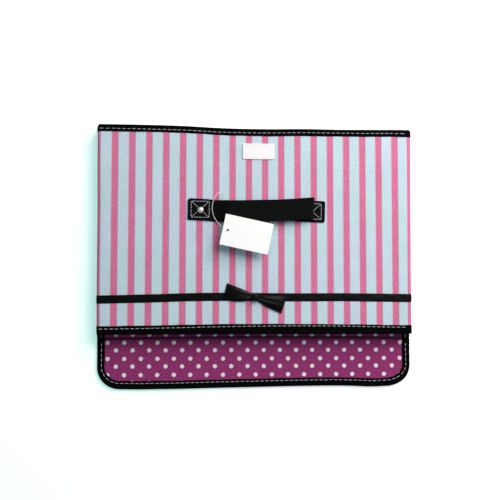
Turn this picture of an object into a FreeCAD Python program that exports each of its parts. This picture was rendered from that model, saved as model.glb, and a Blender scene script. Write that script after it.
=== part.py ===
import FreeCAD, Part
import math
import os
import Sketcher

# Collapsible storage box of fabric over board, folded flat on its back with its lid behind it.
# X is the width, Y points to the rim, Z points from the folded lid up to the front wall.
# The origin is the middle of the footprint, on the surface that the folded lid lies on.

NODE_FOLDER = "parts"

SIZES = {
    "wall_width": 380.0,
    "wall_height": 254.0,
    "side_half": 126.0,
    "fabric_gauge": 0.5,
    "board_gauge": 1.6,
    "floor_board_gauge": 1.2,
    "lining_gauge": 0.4,
    "binding_gauge": 0.6,
    "layer_gap": 0.3,
    "crease_gap": 0.5,
    "top_binding_height": 8.9,
    "bottom_binding_height": 12.0,
    "ribbon_gauge": 0.4,
    "ribbon_height": 9.8,
    "ribbon_drop": 209.5,
    "lid_width": 384.0,
    "lip_height": 58.0,
    "lip_corner": 27.0,
    "lip_binding_width": 9.2,
    "patch_length": 38.7,
    "patch_height": 19.5,
    "patch_gauge": 1.0,
    "patch_drop": 28.2,
    "patch_shift": 2.65,
    "strap_width": 26.5,
    "strap_gauge": 1.5,
    "strap_drop": 103.8,
    "strap_rise": 5.45,
    "anchor_length": 30.5,
    "anchor_span": 167.5,
    "anchor_shift": 0.6,
    "slope_run": 17.0,
    "fold_back": 11.0,
    "fold_over": 18.4,
    "rivet_diameter": 7.5,
    "rivet_height": 1.9,
    "rivet_rounding": 1.7,
    "bow_length": 71.8,
    "bow_end_height": 19.8,
    "bow_waist": 7.0,
    "bow_gauge": 5.0,
    "bow_tilt": 14.5,
    "bow_shift": -1.3,
    "knot_length": 8.0,
    "knot_height": 9.0,
    "knot_gauge": 6.2,
    "tag_length": 59.1,
    "tag_height": 37.5,
    "tag_gauge": 0.4,
    "tag_tilt": 12.1,
    "tag_lift": 12.0,
    "tag_hole": 3.0,
    "tag_hole_inset": 6.4,
    "tag_hole_drop": 18.75,
    "tag_hole_shift": -35.0,
    "tag_below_strap": 25.0,
    "filament": 0.7,
}

document = FreeCAD.newDocument("StorageBox")
sheet = document.addObject("Spreadsheet::Sheet", "Sizes")
for row, (alias, number) in enumerate(SIZES.items(), start=1):
    sheet.set("A%d" % row, alias)
    sheet.set("B%d" % row, str(number))
    sheet.setAlias("B%d" % row, alias)
document.recompute()

nodes = {}


def value(expression):
    """The present value of an expression, in millimetres."""
    return float(sheet.evalExpression(expression))


def total(*terms):
    return "(" + " + ".join(terms) + ")"


def less(first, *terms):
    return "(" + " - ".join((first,) + terms) + ")"


def half(term):
    return "(" + term + ") / 2"


# Named sizes of the sheet
WIDTH = "Sizes.wall_width"
LID_WIDTH = "Sizes.lid_width"
HEIGHT = "Sizes.wall_height"
SIDE_HALF = "Sizes.side_half"
FABRIC = "Sizes.fabric_gauge"
BOARD = "Sizes.board_gauge"
FLOOR_BOARD = "Sizes.floor_board_gauge"
LINING = "Sizes.lining_gauge"
BINDING = "Sizes.binding_gauge"
GAP = "Sizes.layer_gap"
CREASE = "Sizes.crease_gap"
RIBBON = "Sizes.ribbon_gauge"
STRAP = "Sizes.strap_gauge"

PANEL = total(FABRIC, BOARD, LINING)
FLOOR = total(FABRIC, FLOOR_BOARD, LINING)
BOUND_PANEL = total(PANEL, BINDING, BINDING)

# Levels of the folded stack, from the surface upwards
Z_LID = BINDING
Z_LIP_FOLD = total(Z_LID, half(PANEL))
Z_HINGE = total(BOUND_PANEL, half(GAP))
Z_BACK = total(BOUND_PANEL, GAP, BINDING)
Z_BACK_INNER = total(Z_BACK, PANEL)
Z_FLOOR_REAR = total(Z_BACK_INNER, GAP)
Z_SIDE_REAR = total(Z_FLOOR_REAR, FLOOR, GAP)
Z_CREASE = total(Z_SIDE_REAR, PANEL, BINDING, half(GAP))
Z_SIDE_FRONT = total(Z_CREASE, half(GAP), BINDING)
Z_FLOOR_FRONT = total(Z_SIDE_FRONT, PANEL, GAP)
Z_FRONT = total(Z_FLOOR_FRONT, FLOOR, GAP)
Z_FACE = total(Z_FRONT, PANEL)

# How far the front wall moves out, and how far the lid has to reach over the open box
OPEN_RISE = less("2 * " + SIDE_HALF, "2 * " + total(PANEL, BINDING), GAP)
LID_REACH = less(total(Z_FACE, OPEN_RISE, "Sizes.patch_gauge", GAP, Z_LIP_FOLD), Z_HINGE)

# Places across the footprint
Y_HINGE = half(total(LID_REACH, "Sizes.lip_height"))
Y_FOLD = less(Y_HINGE, LID_REACH)
Y_TOP = less(Y_HINGE, GAP, Z_HINGE)
Y_BOTTOM = less(Y_TOP, HEIGHT)
Y_FLOOR = total(Y_BOTTOM, BINDING, FLOOR, GAP)
X_EDGE = half(WIDTH)
X_LID = half(LID_WIDTH)
X_SIDE = less(X_EDGE, PANEL, BINDING)
SIDE_TUCK = less(total(FLOOR, GAP), BINDING)
PANEL_HEIGHT = less(HEIGHT, BINDING, BINDING)
FLOOR_REACH = less(total(SIDE_HALF, FLOOR, GAP), CREASE)
FLOOR_MARGIN = total(CREASE, GAP)
FOLD_CLEARANCE = total(half(BOUND_PANEL), GAP)


def keep(body, name):
    body.Label = name
    nodes[name] = body
    return body


def new_body(name):
    return document.addObject("PartDesign::Body", name)


def plane(body, role):
    for feature in body.Origin.OriginFeatures:
        if feature.Role == role:
            return feature
    raise ValueError(role)


def put(item, x, y, z):
    """Ties the place of an item to the sheet."""
    item.setExpression("Placement.Base.x", x)
    item.setExpression("Placement.Base.y", y)
    item.setExpression("Placement.Base.z", z)


def polygon_sketch(body, role, points):
    """A closed outline; each corner's two distances from the origin follow the sheet."""
    sketch = body.newObject("Sketcher::SketchObject", body.Name + "Outline")
    sketch.AttachmentSupport = [(plane(body, role), "")]
    sketch.MapMode = "FlatFace"
    corners = [FreeCAD.Vector(value(u), value(v), 0) for u, v in points]
    count = len(corners)
    for index, corner in enumerate(corners):
        sketch.addGeometry(Part.LineSegment(corner, corners[(index + 1) % count]))
    for index in range(count):
        sketch.addConstraint(Sketcher.Constraint("Coincident", index, 2, (index + 1) % count, 1))
    for index, (u, v) in enumerate(points):
        for kind, term in (("DistanceX", u), ("DistanceY", v)):
            number = sketch.addConstraint(Sketcher.Constraint(kind, -1, 1, index, 1, value(term)))
            label = "corner%d%s" % (index, kind[-1])
            sketch.renameConstraint(number, label)
            sketch.setExpression("Constraints." + label, term)
    return sketch


def pad(body, sketch, length):
    feature = body.newObject("PartDesign::Pad", body.Name + "Pad")
    feature.Profile = sketch
    feature.Length = value(length)
    feature.setExpression("Length", length)
    return feature


def rectangle(length, height):
    return [("0", "0"), (length, "0"), (length, height), ("0", height)]


def plate(name, place, length, height, gauge):
    """A flat sheet with its low corner at the place."""
    body = new_body(name)
    pad(body, polygon_sketch(body, "XY_Plane", rectangle(length, height)), gauge)
    put(body, *place)
    return body


def rounded_plate(name, place, length, height, gauge, radius):
    """A flat sheet whose two low corners are rounded."""
    body = plate(name, place, length, height, gauge)
    document.recompute()
    base = body.Tip
    edges = []
    for number, edge in enumerate(base.Shape.Edges, start=1):
        box = edge.BoundBox
        if box.ZLength > value(gauge) / 2 and box.YMax < value(height) / 2:
            edges.append("Edge%d" % number)
    fillet = body.newObject("PartDesign::Fillet", name + "Corners")
    fillet.Base = (base, edges)
    fillet.Radius = value(radius)
    fillet.setExpression("Radius", radius)
    return body


def strip_along_x(name, place, profile, length):
    """A profile in Y and Z, carried along X."""
    body = new_body(name)
    pad(body, polygon_sketch(body, "YZ_Plane", profile), length)
    put(body, *place)
    return body


def strip_along_y(name, place, profile, length):
    """A profile in X and Z, carried from the place towards low Y."""
    body = new_body(name)
    pad(body, polygon_sketch(body, "XZ_Plane", profile), length)
    put(body, *place)
    return body


def group(name, members):
    compound = document.addObject("Part::Compound", name)
    compound.Links = members
    return keep(compound, name)


# Profiles of the folded binding tape, from its low corner

def rim_profile(height):
    """Tape folded over the upper edge of a panel."""
    inner = less(height, BINDING)
    upper = total(PANEL, BINDING)
    return [
        ("0", "0"),
        (height, "0"),
        (height, BOUND_PANEL),
        ("0", BOUND_PANEL),
        ("0", upper),
        (inner, upper),
        (inner, BINDING),
        ("0", BINDING),
    ]


def hem_profile(height, outside_up):
    """Tape round the lower edge of a panel, on its outer face only."""
    thick = total(PANEL, BINDING)
    if outside_up:
        return [
            ("0", "0"), (BINDING, "0"), (BINDING, PANEL),
            (height, PANEL), (height, thick), ("0", thick),
        ]
    return [
        ("0", "0"), (height, "0"), (height, BINDING),
        (BINDING, BINDING), (BINDING, thick), ("0", thick),
    ]


def layered_panel(prefix, x, y, z, length, height, outside_up):
    """Fabric, board and lining, face to face."""
    layers = [("lining", LINING), ("board", BOARD), ("fabric", FABRIC)]
    if not outside_up:
        layers.reverse()
    level = z
    for layer, gauge in layers:
        name = "%s_%s" % (prefix, layer)
        keep(plate(name, (x, y, level), length, height, gauge), name)
        level = total(level, gauge)


def ribbon(prefix, x, face, length, outside_up):
    name = prefix + "_ribbon"
    y = less(Y_TOP, "Sizes.ribbon_drop", half("Sizes.ribbon_height"))
    z = face if outside_up else less(face, RIBBON)
    keep(plate(name, (x, y, z), length, "Sizes.ribbon_height", RIBBON), name)


def wall(prefix, z, outside_up):
    """The front or the back wall with its bindings and ribbon."""
    x = "-" + X_EDGE
    y = total(Y_BOTTOM, BINDING)
    layered_panel(prefix, x, y, z, WIDTH, PANEL_HEIGHT, outside_up)
    rim = rim_profile("Sizes.top_binding_height")
    rim_y = less(Y_TOP, "Sizes.top_binding_height")
    rim_name = prefix + "_top_binding"
    keep(strip_along_x(rim_name, (x, rim_y, less(z, BINDING)), rim, WIDTH), rim_name)
    hem = hem_profile("Sizes.bottom_binding_height", outside_up)
    hem_name = prefix + "_bottom_binding"
    hem_z = z if outside_up else less(z, BINDING)
    keep(strip_along_x(hem_name, (x, Y_BOTTOM, hem_z), hem, WIDTH), hem_name)
    face = total(z, PANEL) if outside_up else z
    ribbon(prefix, x, face, WIDTH, outside_up)


def side_half_wall(prefix, left, z, outside_up):
    """Half of a folding side wall, from beside the corner to the centre crease."""
    length = less(total(SIDE_HALF, SIDE_TUCK), CREASE)
    start = total(X_SIDE, SIDE_TUCK)
    x = "-" + start if left else less(start, length)
    y = total(Y_BOTTOM, BINDING)
    layered_panel(prefix, x, y, z, length, PANEL_HEIGHT, outside_up)
    rim_y = less(Y_TOP, "Sizes.top_binding_height")
    rim = strip_along_x(prefix + "_rim_tape", (x, rim_y, less(z, BINDING)),
                        rim_profile("Sizes.top_binding_height"), length)
    hem_z = z if outside_up else less(z, BINDING)
    hem = strip_along_x(prefix + "_hem_tape", (x, Y_BOTTOM, hem_z),
                        hem_profile("Sizes.bottom_binding_height", outside_up), length)
    group(prefix + "_bindings", [rim, hem])
    face = total(z, PANEL) if outside_up else z
    ribbon(prefix, x, face, length, outside_up)


def mitred_plate(name, z, gauge):
    """Half of the floor board: its ends are mitred, so that it folds inside the side walls."""
    base = "2 * " + less(X_SIDE, FLOOR_MARGIN)
    body = new_body(name)
    outline = [
        ("0", "0"),
        (base, "0"),
        (less(base, FLOOR_REACH), FLOOR_REACH),
        (FLOOR_REACH, FLOOR_REACH),
    ]
    pad(body, polygon_sketch(body, "XY_Plane", outline), gauge)
    put(body, "-" + less(X_SIDE, FLOOR_MARGIN), Y_FLOOR, z)
    keep(body, name)


def floor_half(prefix, z, outside_up):
    """Lining and board are mitred; the cloth under them is whole and soft."""
    layers = [("lining", LINING), ("board", FLOOR_BOARD), ("cloth", FABRIC)]
    if not outside_up:
        layers.reverse()
    level = z
    for layer, gauge in layers:
        name = "%s_%s" % (prefix, layer)
        if layer == "cloth":
            x = "-" + less(X_SIDE, FLOOR_MARGIN)
            length = "2 * " + less(X_SIDE, FLOOR_MARGIN)
            keep(plate(name, (x, Y_FLOOR, level), length, FLOOR_REACH, gauge), name)
        else:
            mitred_plate(name, level, gauge)
        level = total(level, gauge)


def lid():
    """The lid panel, bound on its two sides, from the hinge cloth to the lip fold."""
    hinge_edge = less(Z_BACK, Z_HINGE)
    x = "-" + less(X_LID, BINDING)
    y = total(Y_FOLD, FOLD_CLEARANCE)
    length = less(LID_WIDTH, BINDING, BINDING)
    height = less(LID_REACH, FOLD_CLEARANCE, hinge_edge)
    layered_panel("lid", x, y, Z_LID, length, height, True)
    tapes = []
    for side, place in (("left", "-" + X_LID), ("right", X_LID)):
        across = "Sizes.lip_binding_width"
        inner = less(across, BINDING)
        upper = total(PANEL, BINDING)
        outline = [
            ("0", "0"), (across, "0"), (across, BINDING), (BINDING, BINDING),
            (BINDING, upper), (across, upper), (across, BOUND_PANEL), ("0", BOUND_PANEL),
        ]
        if side == "right":
            place = less(X_LID, across)
            outline = [
                ("0", "0"), (across, "0"), (across, BOUND_PANEL), ("0", BOUND_PANEL),
                ("0", upper), (inner, upper), (inner, BINDING), ("0", BINDING),
            ]
        top = less(Y_HINGE, hinge_edge)
        tapes.append(strip_along_y("lid_tape_" + side, (place, top, "0"), outline, height))
    group("lid_side_bindings", tapes)


def lid_hinge_cloth():
    """Soft strip between the back wall's rim and the lid's hinge edge."""
    y = less(Y_TOP, "Sizes.top_binding_height")
    height = less(Y_HINGE, y)
    x = "-" + X_EDGE
    keep(plate("lid_hinge_cloth", (x, y, BOUND_PANEL), WIDTH, height, GAP), "lid_hinge_cloth")


def lip():
    """The lip that hangs over the front wall when the lid is shut."""
    top = less(Y_FOLD, FOLD_CLEARANCE)
    low = less(Y_FOLD, "Sizes.lip_height")
    panel_low = total(low, BINDING)
    panel_height = less(top, panel_low)
    panel_x = "-" + less(X_LID, BINDING)
    panel_length = less(LID_WIDTH, BINDING, BINDING)
    corner = less("Sizes.lip_corner", BINDING)
    level = Z_LID
    for layer, gauge in (("lining", LINING), ("board", BOARD), ("fabric", FABRIC)):
        name = "lip_" + layer
        keep(rounded_plate(name, (panel_x, panel_low, level), panel_length, panel_height,
                           gauge, corner), name)
        level = total(level, gauge)

    across = "Sizes.lip_binding_width"
    whole = rounded_plate("lip_tape_outline", ("-" + X_LID, low, "0"), LID_WIDTH,
                          less(top, low), BOUND_PANEL, "Sizes.lip_corner")
    slot = rounded_plate("lip_tape_slot", (panel_x, panel_low, Z_LID), panel_length,
                         total(panel_height, across), PANEL, corner)
    window = rounded_plate("lip_tape_window", ("-" + less(X_LID, across), total(low, across),
                                               "-" + BINDING), less(LID_WIDTH, across, across),
                           less(top, low), total(BOUND_PANEL, BINDING, BINDING),
                           less("Sizes.lip_corner", across))
    slotted = document.addObject("Part::Cut", "lip_tape_slotted")
    slotted.Base = whole
    slotted.Tool = slot
    tape = document.addObject("Part::Cut", "lip_binding")
    tape.Base = slotted
    tape.Tool = window
    keep(tape, "lip_binding")


def lip_fold_cloth():
    """The two cloths sewn together in the groove between lid and lip."""
    gauge = total(FABRIC, LINING)
    y = less(Y_FOLD, FOLD_CLEARANCE)
    x = "-" + less(X_LID, BINDING)
    z = less(Z_LIP_FOLD, half(gauge))
    name = "lip_fold_cloth"
    keep(plate(name, (x, y, z), less(LID_WIDTH, BINDING, BINDING), "2 * " + FOLD_CLEARANCE,
               gauge), name)


def closure_patches():
    """Hook patch on the front wall, and the loop patch that meets it when the lid is shut."""
    x = less("Sizes.patch_shift", half("Sizes.patch_length"))
    front_y = less(Y_TOP, "Sizes.patch_drop", half("Sizes.patch_height"))
    keep(plate("front_hook_patch", (x, front_y, Z_FACE), "Sizes.patch_length",
               "Sizes.patch_height", "Sizes.patch_gauge"), "front_hook_patch")
    shut_offset = less(total(Y_FOLD, Z_HINGE), Y_HINGE, Z_LIP_FOLD)
    keep(plate("lip_loop_patch", (x, total(front_y, shut_offset), "0"), "Sizes.patch_length",
               "Sizes.patch_height", BINDING), "lip_loop_patch")


STRAP_Y = less(Y_TOP, "Sizes.strap_drop", half("Sizes.strap_width"))
X_STRAP_LEFT = less("Sizes.anchor_shift", half("Sizes.anchor_span"))
X_STRAP_RIGHT = total("Sizes.anchor_shift", half("Sizes.anchor_span"))
X_SLOPE = total(X_STRAP_LEFT, "Sizes.anchor_length")
X_GRIP = total(X_SLOPE, "Sizes.slope_run")
X_RETURN = less(X_STRAP_RIGHT, "Sizes.anchor_length")
X_GRIP_END = less(X_RETURN, "Sizes.fold_back", "Sizes.slope_run")


def handle_anchors():
    """The two strap ends that are sewn and riveted to the wall."""
    left = plate("anchor_left", (X_STRAP_LEFT, STRAP_Y, Z_FACE), "Sizes.anchor_length",
                 "Sizes.strap_width", STRAP)
    right = plate("anchor_right", (X_RETURN, STRAP_Y, Z_FACE), "Sizes.anchor_length",
                  "Sizes.strap_width", STRAP)
    group("handle_anchors", [left, right])


def rivet(name, x):
    """A round head on the cross of the stitches."""
    body = new_body(name)
    sketch = body.newObject("Sketcher::SketchObject", name + "Outline")
    sketch.AttachmentSupport = [(plane(body, "XY_Plane"), "")]
    sketch.MapMode = "FlatFace"
    radius = half("Sizes.rivet_diameter")
    sketch.addGeometry(Part.Circle(FreeCAD.Vector(0, 0, 0), FreeCAD.Vector(0, 0, 1), value(radius)))
    sketch.addConstraint(Sketcher.Constraint("Coincident", 0, 3, -1, 1))
    number = sketch.addConstraint(Sketcher.Constraint("Radius", 0, value(radius)))
    sketch.renameConstraint(number, "head")
    sketch.setExpression("Constraints.head", radius)
    head = pad(body, sketch, "Sizes.rivet_height")
    document.recompute()
    rim = ["Edge%d" % number for number, edge in enumerate(head.Shape.Edges, start=1)
           if edge.BoundBox.ZMin > value("Sizes.rivet_height") / 2]
    fillet = body.newObject("PartDesign::Fillet", name + "Dome")
    fillet.Base = (head, rim)
    fillet.Radius = value("Sizes.rivet_rounding")
    fillet.setExpression("Radius", "Sizes.rivet_rounding")
    put(body, x, less(Y_TOP, "Sizes.strap_drop"), total(Z_FACE, STRAP))
    return body


def handle_rivets():
    left = rivet("rivet_left", total(X_STRAP_LEFT, half("Sizes.anchor_length")))
    right = rivet("rivet_right", less(X_STRAP_RIGHT, half("Sizes.anchor_length")))
    group("handle_rivets", [left, right])


def handle():
    """The slack strap: a slope from the left anchor, the grip, and a fold over the right anchor."""
    rise = "Sizes.strap_rise"
    run = "Sizes.slope_run"
    place_y = total(STRAP_Y, "Sizes.strap_width")
    slope = [("0", "0"), (run, rise), (run, total(rise, STRAP)), ("0", STRAP)]
    keep(strip_along_y("handle_left_slope", (X_SLOPE, place_y, Z_FACE), slope,
                       "Sizes.strap_width"), "handle_left_slope")

    keep(plate("handle_grip", (X_GRIP, STRAP_Y, total(Z_FACE, rise)), less(X_GRIP_END, X_GRIP),
               "Sizes.strap_width", STRAP), "handle_grip")

    back = total(run, "Sizes.fold_back")
    far = total(back, "Sizes.fold_over")
    turn = run
    middle = less(rise, STRAP, half(GAP))
    top = total(rise, STRAP)
    fold = [
        (back, "0"),
        (back, STRAP),
        (total(turn, STRAP), STRAP),
        (total(turn, STRAP), middle),
        (far, middle),
        (far, top),
        ("0", top),
        ("0", rise),
        (less(far, STRAP), rise),
        (less(far, STRAP), total(middle, STRAP)),
        (turn, total(middle, STRAP)),
        (turn, "0"),
    ]
    keep(strip_along_y("handle_right_fold", (X_GRIP_END, place_y, Z_FACE), fold,
                       "Sizes.strap_width"), "handle_right_fold")


def tilted(item, x, y, z, angle):
    """Turns an item about Z, then ties its place to the sheet."""
    item.Placement = FreeCAD.Placement(
        FreeCAD.Vector(0, 0, 0), FreeCAD.Rotation(FreeCAD.Vector(0, 0, 1), -value(angle)))
    put(item, x, y, z)


def bow():
    """Two flared wings pinched under a knot, across the ribbon."""
    centre_y = less(Y_TOP, "Sizes.ribbon_drop")
    level = total(Z_FACE, RIBBON)
    wing = half(less("Sizes.bow_length", "Sizes.knot_length"))
    flare = half("Sizes.bow_end_height")
    waist = half("Sizes.bow_waist")
    inner = half("Sizes.knot_length")
    outer = total(inner, wing)
    wings = []
    for name, sign in (("bow_wing_left", "-"), ("bow_wing_right", "")):
        body = new_body(name)
        outline = [
            (sign + inner, "-" + waist), (sign + outer, "-" + flare),
            (sign + outer, flare), (sign + inner, waist),
        ]
        pad(body, polygon_sketch(body, "XY_Plane", outline), "Sizes.bow_gauge")
        tilted(body, "Sizes.bow_shift", centre_y, level, "Sizes.bow_tilt")
        wings.append(body)
    group("bow_wings", wings)

    knot = new_body("bow_knot")
    reach = half("Sizes.knot_height")
    outline = [("-" + inner, "-" + reach), (inner, "-" + reach), (inner, reach), ("-" + inner, reach)]
    pad(knot, polygon_sketch(knot, "XY_Plane", outline), "Sizes.knot_gauge")
    tilted(knot, "Sizes.bow_shift", centre_y, level, "Sizes.bow_tilt")
    keep(knot, "bow_knot")


TAG_X = "Sizes.tag_hole_shift"
TAG_Y = less(Y_TOP, "Sizes.strap_drop", "Sizes.tag_below_strap")
TAG_Z = total(Z_FACE, "Sizes.tag_lift")


def tag_card():
    """A blank card with a hole near one end; its own origin is the middle of the hole."""
    body = new_body("tag_card")
    left = "-Sizes.tag_hole_inset"
    top = "Sizes.tag_hole_drop"
    right = less("Sizes.tag_length", "Sizes.tag_hole_inset")
    low = less("Sizes.tag_hole_drop", "Sizes.tag_height")
    outline = [(left, low), (right, low), (right, top), (left, top)]
    sketch = polygon_sketch(body, "XY_Plane", outline)
    radius = half("Sizes.tag_hole")
    hole = sketch.addGeometry(
        Part.Circle(FreeCAD.Vector(0, 0, 0), FreeCAD.Vector(0, 0, 1), value(radius)))
    sketch.addConstraint(Sketcher.Constraint("Coincident", hole, 3, -1, 1))
    number = sketch.addConstraint(Sketcher.Constraint("Radius", hole, value(radius)))
    sketch.renameConstraint(number, "hole")
    sketch.setExpression("Constraints.hole", radius)
    pad(body, sketch, "Sizes.tag_gauge")
    tilted(body, TAG_X, TAG_Y, TAG_Z, "Sizes.tag_tilt")
    keep(body, "tag_card")


# Route of the filament: from the strap's middle line below the rim, and above the front wall's face
LOOP_ROUTE = [
    (-35.7, -24.5, 14.6),
    (-35.7, -24.5, 10.4),
    (-35.5, -19.5, 5.2),
    (-35.0, -9.5, 2.6),
    (-36.0, 3.0, 2.4),
    (-38.2, 13.8, 3.2),
    (-43.6, 22.0, 8.2),
    (-50.2, 17.0, 11.6),
    (-54.6, 4.0, 12.4),
    (-52.8, -8.0, 11.4),
    (-47.4, -16.0, 10.3),
    (-41.2, -21.4, 9.6),
    (-36.8, -24.0, 9.6),
]
ARC_SHARE = 0.45


def corner_arc(before, corner, after):
    """The largest tangent arc that the two runs beside a corner allow."""
    first = before - corner
    second = after - corner
    share = ARC_SHARE * min(first.Length, second.Length)
    turn = math.pi - first.getAngle(second)
    radius = share / math.tan(turn / 2)
    start = corner + FreeCAD.Vector(first).normalize() * share
    end = corner + FreeCAD.Vector(second).normalize() * share
    inward = (FreeCAD.Vector(first).normalize() + FreeCAD.Vector(second).normalize()).normalize()
    depth = radius / math.cos(turn / 2) - radius
    return start, corner + inward * depth, end, radius


def filament_path(points):
    edges = []
    radii = []
    last = points[0]
    for before, corner, after in zip(points, points[1:], points[2:]):
        start, middle, end, radius = corner_arc(before, corner, after)
        edges.append(Part.LineSegment(last, start).toShape())
        edges.append(Part.Arc(start, middle, end).toShape())
        radii.append(radius)
        last = end
    edges.append(Part.LineSegment(last, points[-1]).toShape())
    return Part.Wire(edges), radii


def tag_loop():
    """The clear filament that ties the card to the strap."""
    strap_line = value(less(Y_TOP, "Sizes.strap_drop"))
    face = value(Z_FACE)
    points = [FreeCAD.Vector(x, strap_line + y, face + z) for x, y, z in LOOP_ROUTE]
    path, radii = filament_path(points)
    radius = value(half("Sizes.filament"))
    direction = points[1] - points[0]
    section = Part.Wire(Part.makeCircle(radius, points[0], direction))
    tube = path.makePipeShell([section], True, False)
    feature = document.addObject("Part::Feature", "tag_loop")
    feature.Shape = tube
    keep(feature, "tag_loop")
    print("filament radii", " ".join("%.1f" % radius for radius in radii))
    expected = math.pi * radius ** 2 * path.Length
    print("filament length %.1f, volume %.3f of %.3f" % (path.Length, tube.Volume, expected))


def check_and_export():
    document.recompute()
    for item in document.Objects:
        for state in item.State:
            if state in ("Invalid", "Error"):
                raise RuntimeError("%s is %s" % (item.Name, state))
    os.makedirs(NODE_FOLDER, exist_ok=True)
    for name, item in nodes.items():
        if item.Shape.isNull() or not item.Shape.isValid() or not item.Shape.Solids:
            raise RuntimeError("%s has no valid solid" % name)
    for name, item in nodes.items():
        item.Shape.exportStep(os.path.join(NODE_FOLDER, name + ".step"))
    print("%d nodes" % len(nodes))


wall("back", Z_BACK, False)
lid_hinge_cloth()
for side_name, is_left in (("left", True), ("right", False)):
    side_half_wall("side_rear_" + side_name, is_left, Z_SIDE_REAR, True)
    side_half_wall("side_front_" + side_name, is_left, Z_SIDE_FRONT, False)
floor_half("floor_rear", Z_FLOOR_REAR, True)
floor_half("floor_front", Z_FLOOR_FRONT, False)
wall("front", Z_FRONT, True)
closure_patches()
handle_anchors()
handle_rivets()
handle()
bow()
tag_card()
tag_loop()
lid()
lip()
lip_fold_cloth()
check_and_export()
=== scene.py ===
"""Looks of a fabric storage box that lies folded flat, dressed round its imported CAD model."""

import math
import random

import bpy
import numpy as np
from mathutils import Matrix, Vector


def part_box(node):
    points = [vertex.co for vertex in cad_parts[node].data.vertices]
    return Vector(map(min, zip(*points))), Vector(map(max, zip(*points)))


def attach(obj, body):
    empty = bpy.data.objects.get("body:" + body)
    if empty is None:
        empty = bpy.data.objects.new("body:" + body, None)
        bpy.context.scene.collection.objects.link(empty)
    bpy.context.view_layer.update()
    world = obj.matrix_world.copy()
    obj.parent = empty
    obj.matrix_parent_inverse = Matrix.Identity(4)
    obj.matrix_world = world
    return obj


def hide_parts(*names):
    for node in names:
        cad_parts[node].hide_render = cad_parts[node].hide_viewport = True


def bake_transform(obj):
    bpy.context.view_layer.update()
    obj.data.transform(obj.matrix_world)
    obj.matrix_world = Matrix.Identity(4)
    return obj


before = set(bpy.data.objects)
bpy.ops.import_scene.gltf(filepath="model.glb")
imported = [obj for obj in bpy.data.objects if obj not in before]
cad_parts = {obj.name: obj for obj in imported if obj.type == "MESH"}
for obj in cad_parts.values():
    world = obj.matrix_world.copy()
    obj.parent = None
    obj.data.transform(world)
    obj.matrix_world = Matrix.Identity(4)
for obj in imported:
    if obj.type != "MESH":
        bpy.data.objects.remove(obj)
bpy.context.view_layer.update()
MM = 0.001
SIDES = ((-1, "left"), (1, "right"))

# Lengths in millimetres, in the frame of the part
EDGE_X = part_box("front_fabric")[1].x / MM
LID_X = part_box("lip_binding")[1].x / MM
FACE_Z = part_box("front_fabric")[1].z / MM
RIM_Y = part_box("front_top_binding")[1].y / MM
FOOT_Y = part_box("front_bottom_binding")[0].y / MM
RIM_TAPE = RIM_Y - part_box("front_top_binding")[0].y / MM
FOOT_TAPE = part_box("front_bottom_binding")[1].y / MM - FOOT_Y
TAPE_GAUGE = 0.6
CLOTH_GAUGE = 0.5
LINING_GAUGE = 0.4
SATIN_GAUGE = 0.35
LID_TAPE = 9.2
LIP_CORNER = 27.0
FOOT_BACK = 3.0
CLOTH_TUCK = 0.6
CREASE_COVER = 0.45
# Pairs of place along X and a length: droop of the rim, wave of the lip's lower edge, width of the
# foot's tape, depth of its stitches below its upper edge, how far the cloth spreads past its side
# edges by place along Y, shift of the stripes, and the ribbon's own wander
RIM_DROOP = [(-190, 0.0), (-145, 0.0), (-90, 0.7), (-40, 2.7), (12, 3.1), (58, 2.2), (110, 2.2), (190, 1.2)]
LIP_WAVE = [(-192, -0.6), (-160, -1.0), (-142, -1.3), (-123, -1.2), (-86, -0.9), (-62, -0.4), (-12, 0.4),
            (60, 1.4), (110, 1.4), (150, 0.1), (167, 0.8), (192, 0.6)]
FOOT_WIDTH = [(-190, 10.2), (-150, 10.6), (-90, 11.6), (-40, 12.4), (20, 12.6), (80, 12.2), (190, 10.6)]
FOOT_STITCH = [(-190, 3.5), (-60, 3.2), (90, 2.3), (190, 2.7)]
FLARE_LEFT = [(-162, 0.3), (-104, 0.5), (-96, 0.8), (-50, 1.4), (60, 1.7), (110, 2.3), (158, 2.5)]
FLARE_RIGHT = [(-162, 1.9), (-96, 1.7), (0, 2.1), (110, 2.7), (158, 2.9)]
PRINT_SHIFT = [(-190, -1.6), (-186, -1.5), (-177, -0.2), (-129, -0.8), (-87, -1.1), (-47, -0.9),
               (-7, -0.3), (32, 0.5), (72, 0.7), (131, 0.85), (177, 0.85), (186, 4.3), (190, 4.4)]
RIBBON_PATH = [(-190, -2.6), (-128, -1.2), (-68, 0.6), (-5, 0.6), (53, 0.2), (103, 0.4),
               (162, -0.3), (190, -0.6)]
STRAIGHT = [(-190, 0.0), (190, 0.0)]
CORNER_RADIUS = 3.0
BOARD_INSET = 3.4
THREAD_RADIUS = 0.25
STITCH_DASH = 4.5
STITCH_PITCH = 6.1
STITCH_INSET = 3.8
THREAD_LIFT = 0.05
STRIPE_PITCH = 20.24
STRIPE_SHIFT = 0.75
STRIPE_WIDTH = 7.2
DOT_PITCH = (20.03, 19.58)
DOT_RADIUS = 2.7
DOT_SHIFT = (0.75, -8.56)
DOT_SLANT = 0.0015
LID_PRINT = 0.6
LATTICE_PITCH = 2.33
DIMPLE_SHADE = 0.8
# The pressed crease between lid and lip: its Y at the middle, and its bend in mm per square metre of X; the
# dotted cloth's painted shade follows it
CREASE_Y = -100.3
CREASE_BEND = 52.6

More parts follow.
